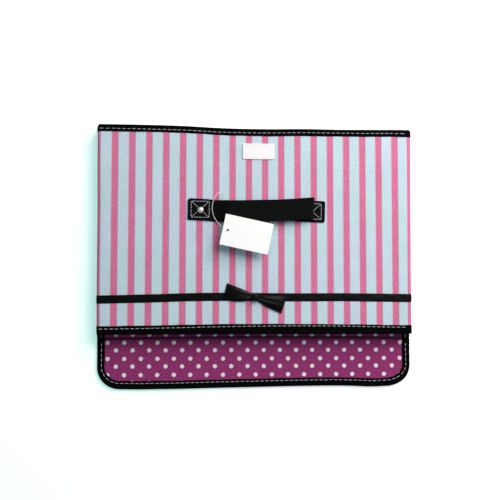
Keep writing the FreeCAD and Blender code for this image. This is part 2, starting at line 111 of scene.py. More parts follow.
# Wrinkles of the front cloth: middle x and y, half width, half height, lean, height
WRINKLES = [
    (12.0, -22.0, 2.6, 20.0, 0.10, 0.45),
    (21.0, -18.0, 2.2, 24.0, -0.06, 0.40),
    (33.0, -24.0, 3.0, 18.0, 0.12, 0.35),
    (-60.0, 108.0, 4.5, 22.0, 0.2, 0.25),
    (96.0, 104.0, 5.0, 26.0, -0.15, 0.25),
    (-128.0, -8.0, 5.0, 30.0, 0.05, 0.25),
    (140.0, 10.0, 6.0, 34.0, 0.04, 0.25),
    (60.0, 100.0, 4.0, 20.0, 0.3, 0.2),
]

# The strap: wander of its middle line, rounding of its sewn ends, lean of its folded end, the corners
# of the ends' stitching, and how far the right rivet sits under the fold
STRAP_PATH = [(-83, 1.2), (-62, 0.3), (-44, -1.2), (-20, -1.5), (4, -0.9), (28, -0.2), (47, 1.1), (67, 2.7)]
END_ROUND = 2.2
END_STEPS = (0.0, 0.15, 0.5, 1.0, 1.6, 2.2)
RIGHT_LEAN = math.radians(-4.5)
BOX_LEFT = [(-79.3, 45.5), (-57.6, 45.2), (-57.2, 64.6), (-79.1, 65.0)]
BOX_RIGHT = [(57.6, 44.8), (79.6, 43.6), (79.9, 62.8), (57.8, 63.6)]
RIVET_SLIDE = 2.2

# The bow: for each wing the upper and lower edge across it, its reach at both edges, and its folds as
# place at the knot, place at the end, height and width, all across from -1 to 1
BOW_TILT = math.radians(-14.5)
BOW_WINGS = {
    -1: ([(0, 3.2), (0.45, 5.9), (1, 8.3)], [(0, -3.2), (0.3, -8.2), (0.55, -10.6), (1, -12.0)],
         (37.4, 37.2), [(-0.45, -0.35, 1.1, 0.3), (0.45, 0.6, 0.9, 0.25)]),
    1: ([(0, 3.2), (0.45, 7.4), (1, 10.2)], [(0, -3.2), (0.45, -7.7), (1, -10.9)],
        (37.4, 35.6), [(-0.35, -0.3, 1.6, 0.22), (0.45, 0.5, 1.2, 0.22)]),
}

# The filament's route, points repeated from the part's source, relative to STRAP_LINE and the face
STRAP_LINE = 54.2
LOOP_ROUTE = [
    (-35.7, -24.5, 14.6), (-35.7, -24.5, 10.4), (-35.5, -19.5, 5.2), (-35.0, -9.5, 2.6),
    (-36.0, 3.0, 2.4), (-38.2, 13.8, 3.2), (-43.6, 22.0, 8.2), (-50.2, 17.0, 11.6),
    (-54.6, 4.0, 12.4), (-52.8, -8.0, 11.4), (-47.4, -16.0, 10.3), (-41.2, -21.4, 9.6),
    (-36.8, -24.0, 9.6),
]
FILAMENT_DIAMETER = 0.7

# The camera, fitted to the corners of the front wall and the lid's lip in the photograph
CAMERA_DISTANCE = 900.0
CAMERA_TARGET = (-7.65, 6.0, 22.0)
CAMERA_TURN = (3.18, -4.05, 0.05)
CAMERA_FOCAL_PIXELS = 741.0
IMAGE_PIXELS = 500
SENSOR_WIDTH = 36.0

# The light: a pale sky and one broad window from the upper right, in metres and watts
SKY_TINT = (0.78, 1.0, 1.0, 1.0)
SKY_STRENGTH = 0.265
WINDOW_WAY = (0.82, 0.92, 1.0)
WINDOW_DISTANCE = 1.35
WINDOW_SIZE = 1.1
WINDOW_POWER = 27.5
WINDOW_TINT = (1.0, 0.92, 0.905)
# The floor's glow that only the camera sees: greener at the left, a painted teal reflection in the box's
# shadow there
FLOOR_LIFT_LEFT = (0.33, 0.55, 0.51, 1.0)
FLOOR_LIFT_RIGHT = (0.47, 0.50, 0.50, 1.0)
FLOOR_REACH = 6.0
FLOOR_Z = -0.0006


def rgb(red, green, blue):
    """A colour of 0 to 255 display values as linear numbers."""
    def linear(c):
        c = c / 255
        return c / 12.92 if c <= 0.04045 else ((c + 0.055) / 1.055) ** 2.4
    return (linear(red), linear(green), linear(blue), 1.0)


# Shader building
class Shader:
    """A material's node tree with short calls for the nodes that the cloths share."""

    def __init__(self, name, roughness=0.8, specular=0.3, sheen=0.0):
        self.material = bpy.data.materials.new(name)
        self.material.use_nodes = True
        self.tree = self.material.node_tree
        self.skin = self.tree.nodes["Principled BSDF"]
        self.feed(self.skin, {"Roughness": roughness, "Specular IOR Level": specular,
                              "Sheen Weight": sheen, "Sheen Roughness": 0.4})

    def feed(self, node, inputs):
        """Each input linked to a socket, or set to a constant."""
        for key, source in inputs.items() if isinstance(inputs, dict) else enumerate(inputs):
            if isinstance(source, bpy.types.NodeSocket):
                self.tree.links.new(source, node.inputs[key])
            else:
                node.inputs[key].default_value = source

    def node(self, kind, inputs=(), output=0, **settings):
        """One output of a new node."""
        made = self.tree.nodes.new(kind)
        for key, val in settings.items():
            setattr(made, key, val)
        self.feed(made, inputs)
        return made.outputs[output]

    def math(self, operation, *values):
        return self.node("ShaderNodeMath", values, operation=operation)

    def split(self, vector):
        return self.node("ShaderNodeSeparateXYZ", [vector]).node.outputs

    def cloth_point(self):
        """Across and along the cloth in millimetres, from its UV map."""
        parts = self.split(self.node("ShaderNodeUVMap", uv_map="cloth"))
        return self.math("DIVIDE", parts[0], MM), self.math("DIVIDE", parts[1], MM)

    def object_point(self):
        return self.node("ShaderNodeTexCoord", output="Object")

    def joined(self, x, y):
        return self.node("ShaderNodeCombineXYZ", (x, y))

    def noise(self, vector, scale, detail=2.0):
        return self.node("ShaderNodeTexNoise", {"Vector": vector, "Scale": scale, "Detail": detail})

    def ramp(self, value, low, high, to_low=0.0, to_high=1.0):
        return self.node("ShaderNodeMapRange", (value, low, high, to_low, to_high),
                         interpolation_type="SMOOTHSTEP")

    def mix(self, share, a, b):
        return self.node("ShaderNodeMix", {"Factor": share, "A": a, "B": b}, "Result", data_type="RGBA")

    def shade(self, colour, value):
        """The colour made lighter or darker."""
        return self.node("ShaderNodeHueSaturation", {"Color": colour, "Value": value})

    def wave(self, value, pitch):
        """A smooth wave from 0 to 1 that repeats every pitch."""
        turned = self.math("MULTIPLY", value, 2 * math.pi / pitch)
        return self.math("MULTIPLY_ADD", self.math("SINE", turned), 0.5, 0.5)

    def cell(self, value, pitch, shift=0.0):
        """Distance from the middle of a repeating cell, from -pitch/2 to pitch/2."""
        moved = self.math("ADD", self.math("DIVIDE", value, pitch), shift)
        return self.math("MULTIPLY", self.math("SUBTRACT", self.math("FRACT", moved), 0.5), pitch)

    def length(self, a, b):
        return self.math("SQRT", self.math("ADD", self.math("POWER", a, 2.0), self.math("POWER", b, 2.0)))

    def bump(self, height, millimetres, strength):
        return self.node("ShaderNodeBump", {"Strength": strength, "Distance": millimetres * MM,
                                            "Height": height})

    def finish(self, **parts):
        names = {"colour": "Base Color", "roughness": "Roughness", "normal": "Normal"}
        self.feed(self.skin, {names[key]: source for key, source in parts.items()})
        return self.material


def dimple_lattice(shader, u, v):
    """Height of the pressed diamond lattice of spunbond cloth: 1 between the dimples, 0 in them."""
    a = shader.cell(shader.math("ADD", u, v), LATTICE_PITCH)
    b = shader.cell(shader.math("SUBTRACT", u, v), LATTICE_PITCH)
    return shader.ramp(shader.length(a, b), 0.4, 1.0)


def spunbond(name, colour_of):
    """Pressed non-woven cloth. colour_of(shader, u, v, jitter, wear) gives its pattern."""
    s = Shader(name, roughness=0.85, specular=0.15, sheen=0.05)
    u, v = s.cloth_point()
    place = s.joined(u, v)
    fibre = s.noise(s.joined(s.math("MULTIPLY", u, 0.8), v), 2.6, 4.0)
    lattice = dimple_lattice(s, u, v)
    wander = s.math("SUBTRACT", s.noise(place, 1.1, 2.0), 0.5)
    jitter = s.math("MULTIPLY_ADD", s.math("SUBTRACT", lattice, 0.5), 0.45, s.math("MULTIPLY", wander, 0.9))
    wear = s.ramp(s.noise(place, 0.85, 1.0), 0.5, 0.72)
    value = s.math("MULTIPLY_ADD", lattice, DIMPLE_SHADE, 1.0 - DIMPLE_SHADE)
    for scale, reach in ((0.035, 0.14), (0.4, 0.2), (0.9, 0.5)):
        cloud = s.math("SUBTRACT", s.noise(place, scale, 2.0), 0.5)
        value = s.math("MULTIPLY_ADD", cloud, reach, value)
    colour = s.shade(colour_of(s, u, v, jitter, wear), value)
    height = s.math("ADD", s.math("MULTIPLY", lattice, 0.7), s.math("MULTIPLY", fibre, 0.5))
    return s.finish(colour=colour, normal=s.bump(height, 0.22, 0.6))


def stripes(s, u, v, jitter, wear):
    """Pink stripes on pale blue; the ink is worn in specks and bruised along each stripe's edges."""
    offset = s.cell(s.math("SUBTRACT", s.math("ADD", u, jitter), STRIPE_SHIFT), STRIPE_PITCH)
    half = STRIPE_WIDTH / 2
    mask = s.ramp(s.math("ABSOLUTE", offset), half - 0.3, half + 0.3, 1.0, 0.0)
    drift = s.ramp(s.noise(s.joined(u, v), 0.012, 1.0), 0.35, 0.65)
    ground = s.mix(drift, rgb(211, 239, 247), rgb(217, 236, 252))
    ink = s.mix(s.math("MULTIPLY", wear, 0.5), rgb(237, 117, 164), rgb(252, 208, 230))
    cloth = s.mix(mask, ground, ink)
    for place, strength in ((half + 0.2, 0.5), (-half - 0.2, 0.25)):
        near = s.math("ABSOLUTE", s.math("SUBTRACT", offset, place))
        cloth = s.mix(s.ramp(near, 0.2, 0.8, strength, 0.0), cloth, rgb(150, 104, 134))
    return cloth


def dots(s, u, v, jitter, wear):
    """White dots in staggered rows on plum, with painted shade along the pressed crease between lid and
    lip: on the lid just above it, in the box's shadow, and in the groove just below it.
    """
    across = s.math("SUBTRACT", u, DOT_SHIFT[0])
    along = s.math("SUBTRACT", s.math("MULTIPLY_ADD", u, DOT_SLANT, v), DOT_SHIFT[1])
    rows = [s.length(s.cell(across, DOT_PITCH[0], right), s.cell(along, DOT_PITCH[1], up))
            for right, up in ((0.0, 0.0), (0.5, 0.528))]
    edge = s.math("ADD", jitter, s.math("MINIMUM", rows[0], rows[1]))
    mask = s.ramp(edge, DOT_RADIUS - 0.3, DOT_RADIUS + 0.3, 1.0, 0.0)
    ink = s.mix(s.math("MULTIPLY", wear, 0.16), rgb(159, 49, 119), rgb(236, 190, 222))
    cloth = s.mix(mask, ink, rgb(254, 252, 255))
    # Painted shade: the cloth darkens to 0.35 at the crease and fades out 1.6 mm below it on the lip and 3
    # mm above it on the lid, which lies in the shadow of the box's foot; further up the lid the cloth is
    # 1.1 times as light.
    bend = s.math("POWER", s.math("MULTIPLY", u, 0.001), 2.0)
    above = s.math("ADD", s.math("MULTIPLY_ADD", bend, CREASE_BEND, v), -CREASE_Y)
    upper = s.ramp(above, 0.2, 3.0, 0.35, 1.1)
    lower = s.ramp(above, -1.6, -0.2, 1.0, 0.3)
    return s.shade(cloth, s.math("MAXIMUM", upper, lower))


def pale(s, u, v, jitter, wear):
    return rgb(206, 208, 206)


def woven(name, base, light, pitch, slant, roughness, specular, depth):
    """Ribbed or twilled black tape: slant 0 gives cross ribs, 1 a diagonal twill."""
    s = Shader(name, roughness=roughness, specular=specular)
    u, v = s.cloth_point()
    rib = s.wave(s.math("ADD", u, s.math("MULTIPLY", v, slant)), pitch)
    cross = s.wave(s.math("SUBTRACT", v, s.math("MULTIPLY", u, slant)), pitch * 0.8)
    weave = s.math("MULTIPLY", rib, s.math("MULTIPLY_ADD", cross, 0.6, 0.4))
    lint = s.ramp(s.noise(s.joined(u, v), 1.4, 3.0), 0.66, 0.82, 0.0, 0.12)
    wear = s.noise(s.joined(u, v), 0.06, 2.0)
    share = s.math("ADD", s.math("MULTIPLY", weave, 0.5), s.math("MULTIPLY", wear, 0.3))
    colour = s.mix(lint, s.mix(share, base, light), rgb(80, 82, 88))
    return s.finish(colour=colour, normal=s.bump(weave, depth, 0.8))


def satin():
    """Black satin: fine lengthwise threads that stretch the gloss."""
    s = Shader("black_satin_cloth", roughness=0.4, specular=0.13)
    u, v = s.cloth_point()
    thread = s.noise(s.joined(s.math("MULTIPLY", u, 0.12), s.math("MULTIPLY", v, 6.0)), 1.0, 2.0)
    crumple = s.noise(s.joined(s.math("MULTIPLY", u, 0.4), v), 0.4, 3.0)
    colour = s.mix(thread, rgb(1, 1, 2), rgb(4, 4, 6))
    height = s.math("ADD", s.math("MULTIPLY", thread, 0.25), crumple)
    return s.finish(colour=colour, roughness=s.ramp(thread, 0.2, 0.8, 0.34, 0.46),
                    normal=s.bump(height, 0.5, 0.6))


def thread_white():
    s = Shader("white_thread", roughness=0.7, specular=0.2)
    u, v = s.cloth_point()
    twist = s.wave(s.math("ADD", u, s.math("MULTIPLY", v, 1.5)), 0.5)
    colour = s.mix(twist, rgb(196, 198, 202), rgb(232, 232, 236))
    return s.finish(colour=colour, normal=s.bump(twist, 0.08, 0.6))


def hook_tape(name, see_through):
    """White hook or loop tape: short bristles in rows, a little see-through."""
    s = Shader(name, roughness=0.6, specular=0.2)
    u, v = s.cloth_point()
    bristle = s.ramp(s.length(s.cell(u, 0.9), s.cell(v, 1.1)), 0.1, 0.5, 1.0, 0.0)
    tangle = s.noise(s.joined(u, v), 1.8, 3.0)
    colour = s.mix(bristle, rgb(246, 245, 247), rgb(253, 253, 254))
    s.feed(s.skin, {"Alpha": s.math("MULTIPLY_ADD", bristle, see_through, 1.0 - see_through)})
    height = s.math("ADD", bristle, tangle)
    return s.finish(colour=colour, normal=s.bump(height, 0.15, 0.5))


def steel():
    s = Shader("rivet_steel", roughness=0.4, specular=0.5)
    s.skin.inputs["Metallic"].default_value = 0.8
    place = s.object_point()
    scratch = s.noise(place, 900.0, 3.0)
    colour = s.mix(scratch, rgb(214, 204, 196), rgb(250, 246, 240))
    return s.finish(colour=colour, roughness=s.ramp(scratch, 0.3, 0.7, 0.32, 0.5),
                    normal=s.bump(scratch, 0.02, 0.4))


def paper():
    s = Shader("tag_card_paper", roughness=0.55, specular=0.35)
    place = s.object_point()
    pulp = s.noise(place, 1400.0, 4.0)
    mottle = s.noise(place, 120.0, 2.0)
    colour = s.mix(mottle, rgb(250, 250, 250), rgb(254, 254, 254))
    return s.finish(colour=colour, normal=s.bump(pulp, 0.03, 0.3))


def filament_plastic():
    s = Shader("clear_filament_plastic", roughness=0.12, specular=0.6)
    s.skin.inputs["IOR"].default_value = 1.5
    s.skin.inputs["Transmission Weight"].default_value = 0.25
    place = s.object_point()
    haze = s.noise(place, 300.0, 2.0)
    return s.finish(colour=s.mix(haze, rgb(236, 240, 242), rgb(252, 254, 254)))


def chipboard():
    s = Shader("grey_chipboard", roughness=0.9, specular=0.2)
    place = s.object_point()
    pulp = s.noise(place, 700.0, 5.0)
    fleck = s.ramp(s.noise(place, 1600.0, 1.0), 0.6, 0.7, 0.0, 0.5)
    colour = s.mix(fleck, s.mix(pulp, rgb(132, 126, 116), rgb(168, 162, 150)), rgb(92, 86, 78))
    return s.finish(colour=colour, normal=s.bump(pulp, 0.1, 0.6))


CLOTHS = {
    "stripe_cloth": spunbond("striped_spunbond", stripes),
    "dot_cloth": spunbond("dotted_spunbond", dots),
    "lining_cloth": spunbond("lining_spunbond", pale),
    "black_tape": woven("black_binding_tape", rgb(3, 3, 4), rgb(10, 10, 12), 0.9, 0.0, 0.8, 0.03, 0.12),
    "black_webbing": woven("black_strap_webbing", rgb(5, 7, 7), rgb(18, 22, 22), 1.7, 1.0, 0.75, 0.05, 0.3),
    "black_satin": satin(),
    "white_hook": hook_tape("white_hook_tape", 0.12),
    "rivet_metal": steel(),
    "tag_paper": paper(),
    "clear_filament": filament_plastic(),
    "grey_board": chipboard(),
}
WHITE_THREAD = thread_white()


# Mesh building, in millimetres
def placed(name, data):
    """A new object in the scene."""
    made = bpy.data.objects.new(name, data)
    bpy.context.scene.collection.objects.link(made)
    return made


def mesh_piece(name, points, faces, uvs, slot, body=None, nodes=(), settle=True, material=None):
    """One object from points in millimetres; uvs holds one pair in metres for each point."""
    points = np.array(points, float)
    if settle:
        points[:, 0], points[:, 1] = settled(points[:, 0], points[:, 1])
    mesh = bpy.data.meshes.new(name)
    mesh.from_pydata((points * MM).tolist(), [], faces)
    layer = mesh.uv_layers.new(name="cloth")
    loops = np.zeros(len(mesh.loops), np.int32)
    mesh.loops.foreach_get("vertex_index", loops)
    layer.data.foreach_set("uv", np.asarray(uvs, np.float32)[loops].ravel())
    mesh.polygons.foreach_set("use_smooth", [True] * len(mesh.polygons))
    mesh.materials.append(material or CLOTHS[slot])
    piece = placed(name, mesh)
    if body:
        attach(piece, body)
    if nodes:
        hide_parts(*nodes)
    return piece


def grid_faces(rows, columns, start=0, flip=False):
    """Quads between neighbouring points of a grid."""
    firsts = [start + i * columns + j for i in range(rows - 1) for j in range(columns - 1)]
    quads = [(a, a + 1, a + columns + 1, a + columns) for a in firsts]
    return [quad[::-1] for quad in quads] if flip else quads


def grid_rim(rows, columns):
    """Pairs of neighbouring points all round a grid's border."""
    place = np.arange(rows * columns).reshape(rows, columns)
    rim = np.concatenate([place[0], place[1:, -1], place[-1, -2::-1], place[-2:0:-1, 0]]).tolist()
    return zip(rim, rim[1:] + rim[:1])


def ring_faces(rings, around, start=0, flip=False):
    """Quads between closed rings of points that follow each other."""
    faces = []
    for r in range(rings - 1):
        for k in range(around):
            a = start + r * around + k
            b = start + r * around + (k + 1) % around
            faces.append((a, a + around, b + around, b) if flip else (a, b, b + around, a + around))
    return faces


def cap(around, start=0, flip=False):
    """One face over a ring."""
    ring = tuple(range(start, start + around))
    return ring[::-1] if flip else ring


def tube(name, rings, uvs, slot, body=None, nodes=(), flip=False, open_ends=(False, False), flat_ends=False,
         settle=False):
    """A skin over closed rings of points, capped at the ends that aren't open."""
    count, around = rings.shape[:2]
    faces = ring_faces(count, around, 0, flip)
    sides = len(faces)
    caps = (cap(around, 0, True), cap(around, (count - 1) * around))
    faces += [face for face, is_open in zip(caps, open_ends) if not is_open]
    uvs = uvs.reshape(-1, 2) * MM
    piece = mesh_piece(name, rings.reshape(-1, 3), faces, uvs, slot, body, nodes, settle)
    if flat_ends:
        for polygon in list(piece.data.polygons)[sides:]:
            polygon.use_smooth = False
    return piece


def grid_normals(grid):
    """Unit normals of a grid of points, by central differences."""
    normal = np.cross(np.gradient(grid, axis=1), np.gradient(grid, axis=0))
    return normal / np.maximum(np.linalg.norm(normal, axis=2, keepdims=True), 1e-9)


def two_sided(name, outer, inner, uv, slot, body=None, nodes=(), settle=True):
    """A sheet between two grids of points, closed all round."""
    rows, columns = outer.shape[:2]
    count = rows * columns
    points = np.concatenate([outer.reshape(-1, 3), inner.reshape(-1, 3)])
    faces = grid_faces(rows, columns) + grid_faces(rows, columns, count, True)
    faces += [(b, a, a + count, b + count) for a, b in grid_rim(rows, columns)]
    uvs = np.concatenate([uv.reshape(-1, 2)] * 2) * MM
    return mesh_piece(name, points, faces, uvs, slot, body, nodes, settle)


def shell(name, grid, uv, gauge, slot, body=None, nodes=()):
    """Cloth of that gauge under a grid of points on its outer side."""
    return two_sided(name, grid, grid - grid_normals(grid) * gauge, uv, slot, body, nodes)


def folded_tape(name, corners, bend, spacing, row_of, lengths, body, nodes=()):
    """Tape folded round an edge, its outer side away from the fold; row_of lays each line along it."""
    section = filled(rounded(corners, bend, 6), spacing)
    grid, uv = np.array([row_of(*place) for place in section]), sheet_uv(lengths, run_lengths(section))
    if (grid_normals(grid) * (grid - grid.mean(axis=0))).sum() < 0:
        grid, uv = grid[::-1], uv[::-1]
    shell(name, grid, uv, TAPE_GAUGE, "black_tape", body, nodes)


def rounded(corners, radius, steps=5):
    """A line through flat points with its inner corners rounded."""
    line = [np.array(corners[0], float)]
    for before, corner, after in zip(corners, corners[1:], corners[2:]):
        p, a, b = (np.array(q, float) for q in (corner, before, after))
        to_a, to_b = (a - p) / np.linalg.norm(a - p), (b - p) / np.linalg.norm(b - p)
        turn = math.acos(max(-1.0, min(1.0, float(to_a @ to_b))))
        cut = radius / math.tan(turn / 2)
        centre = p + (to_a + to_b) / np.linalg.norm(to_a + to_b) * radius / math.sin(turn / 2)
        first, last = p + to_a * cut - centre, p + to_b * cut - centre
        sweep = math.atan2(first[0] * last[1] - first[1] * last[0], float(first @ last))
        for k in range(steps + 1):
            c, s = math.cos(sweep * k / steps), math.sin(sweep * k / steps)
            line.append(centre + np.array([first[0] * c - first[1] * s, first[0] * s + first[1] * c]))
    line.append(np.array(corners[-1], float))
    return np.array(line)


def rounded_loop(corners, radius):
    """A closed outline with rounded corners, counter-clockwise."""
    first, last = corners[0], corners[-1]
    half = ((first[0] + last[0]) / 2, (first[1] + last[1]) / 2)
    return rounded([half, *corners, half], radius, 4)[:-1]


def rectangle(x0, x1, y0, y1, cut=0.0):
    """Its corners, counter-clockwise; the upper two can be cut inwards."""
    return [(x0, y0), (x1, y0), (x1 - cut, y1), (x0 + cut, y1)]


def run_lengths(line):
    steps = np.linalg.norm(np.diff(line, axis=0), axis=1)
    return np.concatenate([[0.0], np.cumsum(steps)])


def filled(line, spacing):
    """The line with long runs divided, its corners kept."""
    out = [line[0]]
    for a, b in zip(line, line[1:]):
        count = max(1, int(math.ceil(np.linalg.norm(b - a) / spacing)))
        out += [a + (b - a) * k / count for k in range(1, count + 1)]
    return np.array(out)


def spaced(lo, hi, spacing, least=2):
    """Even places from lo to hi."""
    return np.linspace(lo, hi, max(least, int((hi - lo) / spacing)))


def filled_ring(ring, spacing):
    return filled(np.vstack([ring, ring[:1]]), spacing)[:-1]


def left_normals(line):
    """Unit normals to the left of a flat line's direction."""
    way = np.gradient(line, axis=0)
    way /= np.linalg.norm(way, axis=1, keepdims=True)
    return np.stack([-way[:, 1], way[:, 0]], axis=1)


def smooth(t):
    t = np.clip(t, 0.0, 1.0)
    return t * t * (3 - 2 * t)


def through(pairs, x):
    """A smooth curve through a few pairs, flat beyond its ends."""
    px, py = np.array(pairs, float).T
    slope = np.gradient(py, px)
    x = np.clip(x, px[0], px[-1])
    k = np.clip(np.searchsorted(px, x, side="right") - 1, 0, len(px) - 2)
    span = px[k + 1] - px[k]
    t = (x - px[k]) / span
    bend = py[k] * (1 + 2 * t) * (1 - t) ** 2 + py[k + 1] * t * t * (3 - 2 * t)
    return bend + slope[k] * span * t * (1 - t) ** 2 - slope[k + 1] * span * t * t * (1 - t)


def settled(x, y):
    """Where cloth comes to lie: droop at the rim, round corners, wavy lip, sides spread a little."""
    inwards = np.clip(np.abs(x) - EDGE_X + CORNER_RADIUS, 0.0, CORNER_RADIUS * 0.96)
    corner = CORNER_RADIUS - np.sqrt(CORNER_RADIUS ** 2 - inwards ** 2)
    rim = through(RIM_DROOP, x) * smooth(y / RIM_Y) + corner * smooth((y - RIM_Y + 14.0) / 14.0)
    left = through(FLARE_LEFT, y) * smooth((-x - EDGE_X + 18.0) / 16.0)
    right = through(FLARE_RIGHT, y) * smooth((x - EDGE_X + 18.0) / 16.0)
    return x + right - left, y - rim + through(LIP_WAVE, x) * smooth((-104.0 - y) / 54.0)


def relief(x, y):
    """Soft unevenness of the front wall's cloth, outwards."""
    slow = 0.16 * np.sin(x / 31.0 + 0.7) * np.sin(y / 37.0 + 1.1) + 0.16
    crease = np.zeros_like(x)
    for x0, y0, reach_x, reach_y, lean, high in WRINKLES:
        across = (x - x0 - lean * (y - y0)) / reach_x
        crease += high * np.exp(-across ** 2 - ((y - y0) / reach_y) ** 2)
    return (slow + crease) * smooth((EDGE_X - np.abs(x)) / 12.0)


def print_shift(u):
    """How far the stripes are shifted across the wall, where the cloth was stretched."""
    places, shifts = np.array(PRINT_SHIFT).T
    return np.interp(u, places, shifts)


def node_box(node):
    lo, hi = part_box(node)
    return lo / MM, hi / MM


def outer_z(node, facing):
    """Height of a flat node's side that looks up (facing 1) or down (-1)."""
    lo, hi = node_box(node)
    return hi.z if facing > 0 else lo.z


def at_height(flat, z):
    """Flat points (x, y) raised to z."""
    return np.column_stack([flat, np.full(len(flat), float(z))])


def level_line(xs, y, z):
    """Points along X at one y, or at one for each of them, and one z."""
    return at_height(np.column_stack([xs, np.broadcast_to(y, xs.shape)]), z)


def swept(line, ys):
    """A line of (x, z) swept along y, as grids of x, y and z."""
    x, y = np.meshgrid(line[:, 0], ys)
    return x, y, np.broadcast_to(line[:, 1], x.shape)


def sheet_uv(lengths, along):
    return np.stack(np.meshgrid(lengths, along), axis=2)


def turned_out(grid, uv, outward):
    """Column order reversed where the cloth faces the other way, so that normals point out."""
    return (grid, uv) if outward > 0 else (grid[:, ::-1], uv[:, ::-1])


# Stitches
def stitch_mesh(name, dashes, body, slot, radius=THREAD_RADIUS, settle=True):
    """Sewn thread: each dash is a bowed bead of thread that dips into the cloth at its ends."""
    bead = [(0.0, 0.45, -0.9), (0.07, 0.85, -0.35), (0.22, 1.0, 0.0), (0.5, 1.05, 0.12),
            (0.78, 1.0, 0.0), (0.93, 0.85, -0.35), (1.0, 0.45, -0.9)]
    t, share, drop = np.array(bead).T[:, :, None, None]
    sides = 6
    angle = (2 * math.pi * np.arange(sides) / sides)[:, None]
    points, uvs, faces = [], [], []
    for a, b, up in dashes:
        way = b - a
        side = np.cross(up, way)
        side /= np.linalg.norm(side)
        start = len(points) * len(bead) * sides
        thread = (side * np.cos(angle) + up * np.sin(angle)) * share * radius
        points.append(a + way * t + up * drop * radius + thread)
        uvs.append(np.concatenate([t * np.linalg.norm(way) + 0 * angle, angle * radius + 0 * t], axis=2))
        faces += ring_faces(len(bead), sides, start)
        faces += [cap(sides, start, True), cap(sides, start + (len(bead) - 1) * sides)]
    uvs = np.array(uvs).reshape(-1, 2) * MM
    mesh_piece(name, np.array(points).reshape(-1, 3), faces, uvs, slot, body, (), settle, WHITE_THREAD)


def dashes_along(line, facing, pitch=STITCH_PITCH, dash=STITCH_DASH, seed=1, wander=0.12):
    """Dashes of thread along a line of points, each a straight piece of that line, with its upward way."""
    rng = random.Random(seed)
    line = np.asarray(line, float)
    lengths = run_lengths(line)
    up = np.array([0.0, 0.0, facing])
    out = []
    for k in range(int(lengths[-1] // pitch)):
        at = (k + 0.5 * (1 - dash / pitch)) * pitch + rng.uniform(-0.08, 0.08)
        reach = min(at + dash * rng.uniform(0.95, 1.05), lengths[-1])
        first, last = (np.array([np.interp(s, lengths, line[:, c]) for c in range(3)]) for s in (at, reach))
        side = np.cross(up, last - first)
        side /= np.linalg.norm(side)
        shift = side * rng.uniform(-wander, wander)
        out.append((first + shift, last + shift * rng.uniform(-1, 1), up))
    return out


def stitch_row(name, x0, x1, y_of, z, facing, body, seed):
    """A row of topstitches along a tape; y_of gives its place for each x."""
    x = np.linspace(x0, x1, 160)
    stitch_mesh(name, dashes_along(level_line(x, y_of(x), z), facing, seed=seed), body, "black_tape")


# Wall panels
def edge_path(reach, z_face, z_end):
    """Across a wall's outer face and round both side edges to z_end, as (x, z) with arc length."""
    corners = [(-reach, z_end), (-reach, z_face), (reach, z_face), (reach, z_end)]
    line = filled(rounded(corners, CORNER_RADIUS), 3.0)
    lengths = run_lengths(line)
    return line, lengths - lengths[-1] / 2


def wall_cloth(name, face, turn, facing):
    """A wall's striped cloth, turned round its side edges."""
    line, lengths = edge_path(EDGE_X, face, turn)
    ys = np.linspace(FOOT_Y + CLOTH_TUCK, RIM_Y - CLOTH_TUCK, 86)
    x, y, z = swept(line, ys)
    lift = relief(x, y) if facing > 0 else 0.0
    grid = np.stack([x, y, z + facing * lift], axis=2)
    grid, uv = turned_out(grid, sheet_uv(lengths + print_shift(lengths), ys), facing)
    shell(f"{name}_cloth", grid, uv, CLOTH_GAUGE, "stripe_cloth", f"{name}_wall", [f"{name}_fabric"])


def wall_tape(name, z_face, z_end, depth, body, node, top, back):
    """Folded tape over a wall's edge that turns round the wall's side edges with the cloth."""
    line, lengths = edge_path(EDGE_X + 0.4, z_face, z_end)
    normal = left_normals(line) * (1 if z_face > z_end else -1)
    width, edge, way = (RIM_TAPE, RIM_Y, -1) if top else (FOOT_TAPE, FOOT_Y, 1)
    spread = 1.0 if top else through(FOOT_WIDTH, line[:, 0]) / width

    def row_of(inset, down):
        reach = inset * spread if down < 0.01 else inset
        ripple = 0.12 * np.sin(lengths / 9.0 + inset) + 0.08 * np.sin(lengths / 3.7)
        x, z = (line - normal * down).T
        return np.stack([x, edge + way * reach + ripple * (inset > width - 1.0), z], axis=1)

    corners = [(width, 0.0), (0.0, 0.0), (0.0, depth), (back, depth)]
    folded_tape(name, corners, 1.3, 1.4, row_of, lengths, body, [node])


def plate(name, node, body, x0, x1, facing, gauge, above=0.0, wavy=0.0):
    """A flat sheet of lining cloth with its outer side towards facing (+1 up, -1 down)."""
    lo, hi = node_box(node)
    x, y = np.meshgrid(spaced(x0, x1, 5.0), spaced(lo.y, hi.y + above, 5.0))
    ripple = wavy * np.sin(x / 23.0 + 0.5) * np.sin(y / 29.0)
    grid = np.stack([x, y, outer_z(node, facing) + ripple * facing], axis=2)
    shell(name, *turned_out(grid, np.stack([x, y], axis=2), facing), gauge, "lining_cloth", body, [node])


def lining(name, body, x0, x1, facing):
    plate(f"{name}_lining_cloth", f"{name}_lining", body, x0, x1, facing, LINING_GAUGE * 0.9)


def board(name, body, inset_x, below, above, cut=0.0):
    """Chipboard with soft edges, its upper corners cut back where the box's floor is mitred."""
    lo, hi = node_box(f"{name}_board")
    soft = (hi.z - lo.z) * 0.3
    outline = rectangle(lo.x + inset_x, hi.x - inset_x, lo.y + below, hi.y - above, cut)
    ring = filled_ring(rounded_loop(outline, 2.0), 12.0)
    centre = ring.mean(axis=0)
    reach = np.abs(ring - centre).max()
    rings = np.array([at_height(centre + (ring - centre) * (1 - inset / reach), z) for inset, z in
                      ((soft, lo.z), (0.0, lo.z + soft), (0.0, hi.z - soft), (soft, hi.z))])
    tube(f"{name}_chipboard", rings, rings[:, :, :2], "grey_board", body, [f"{name}_board"],
         flat_ends=True, settle=True)


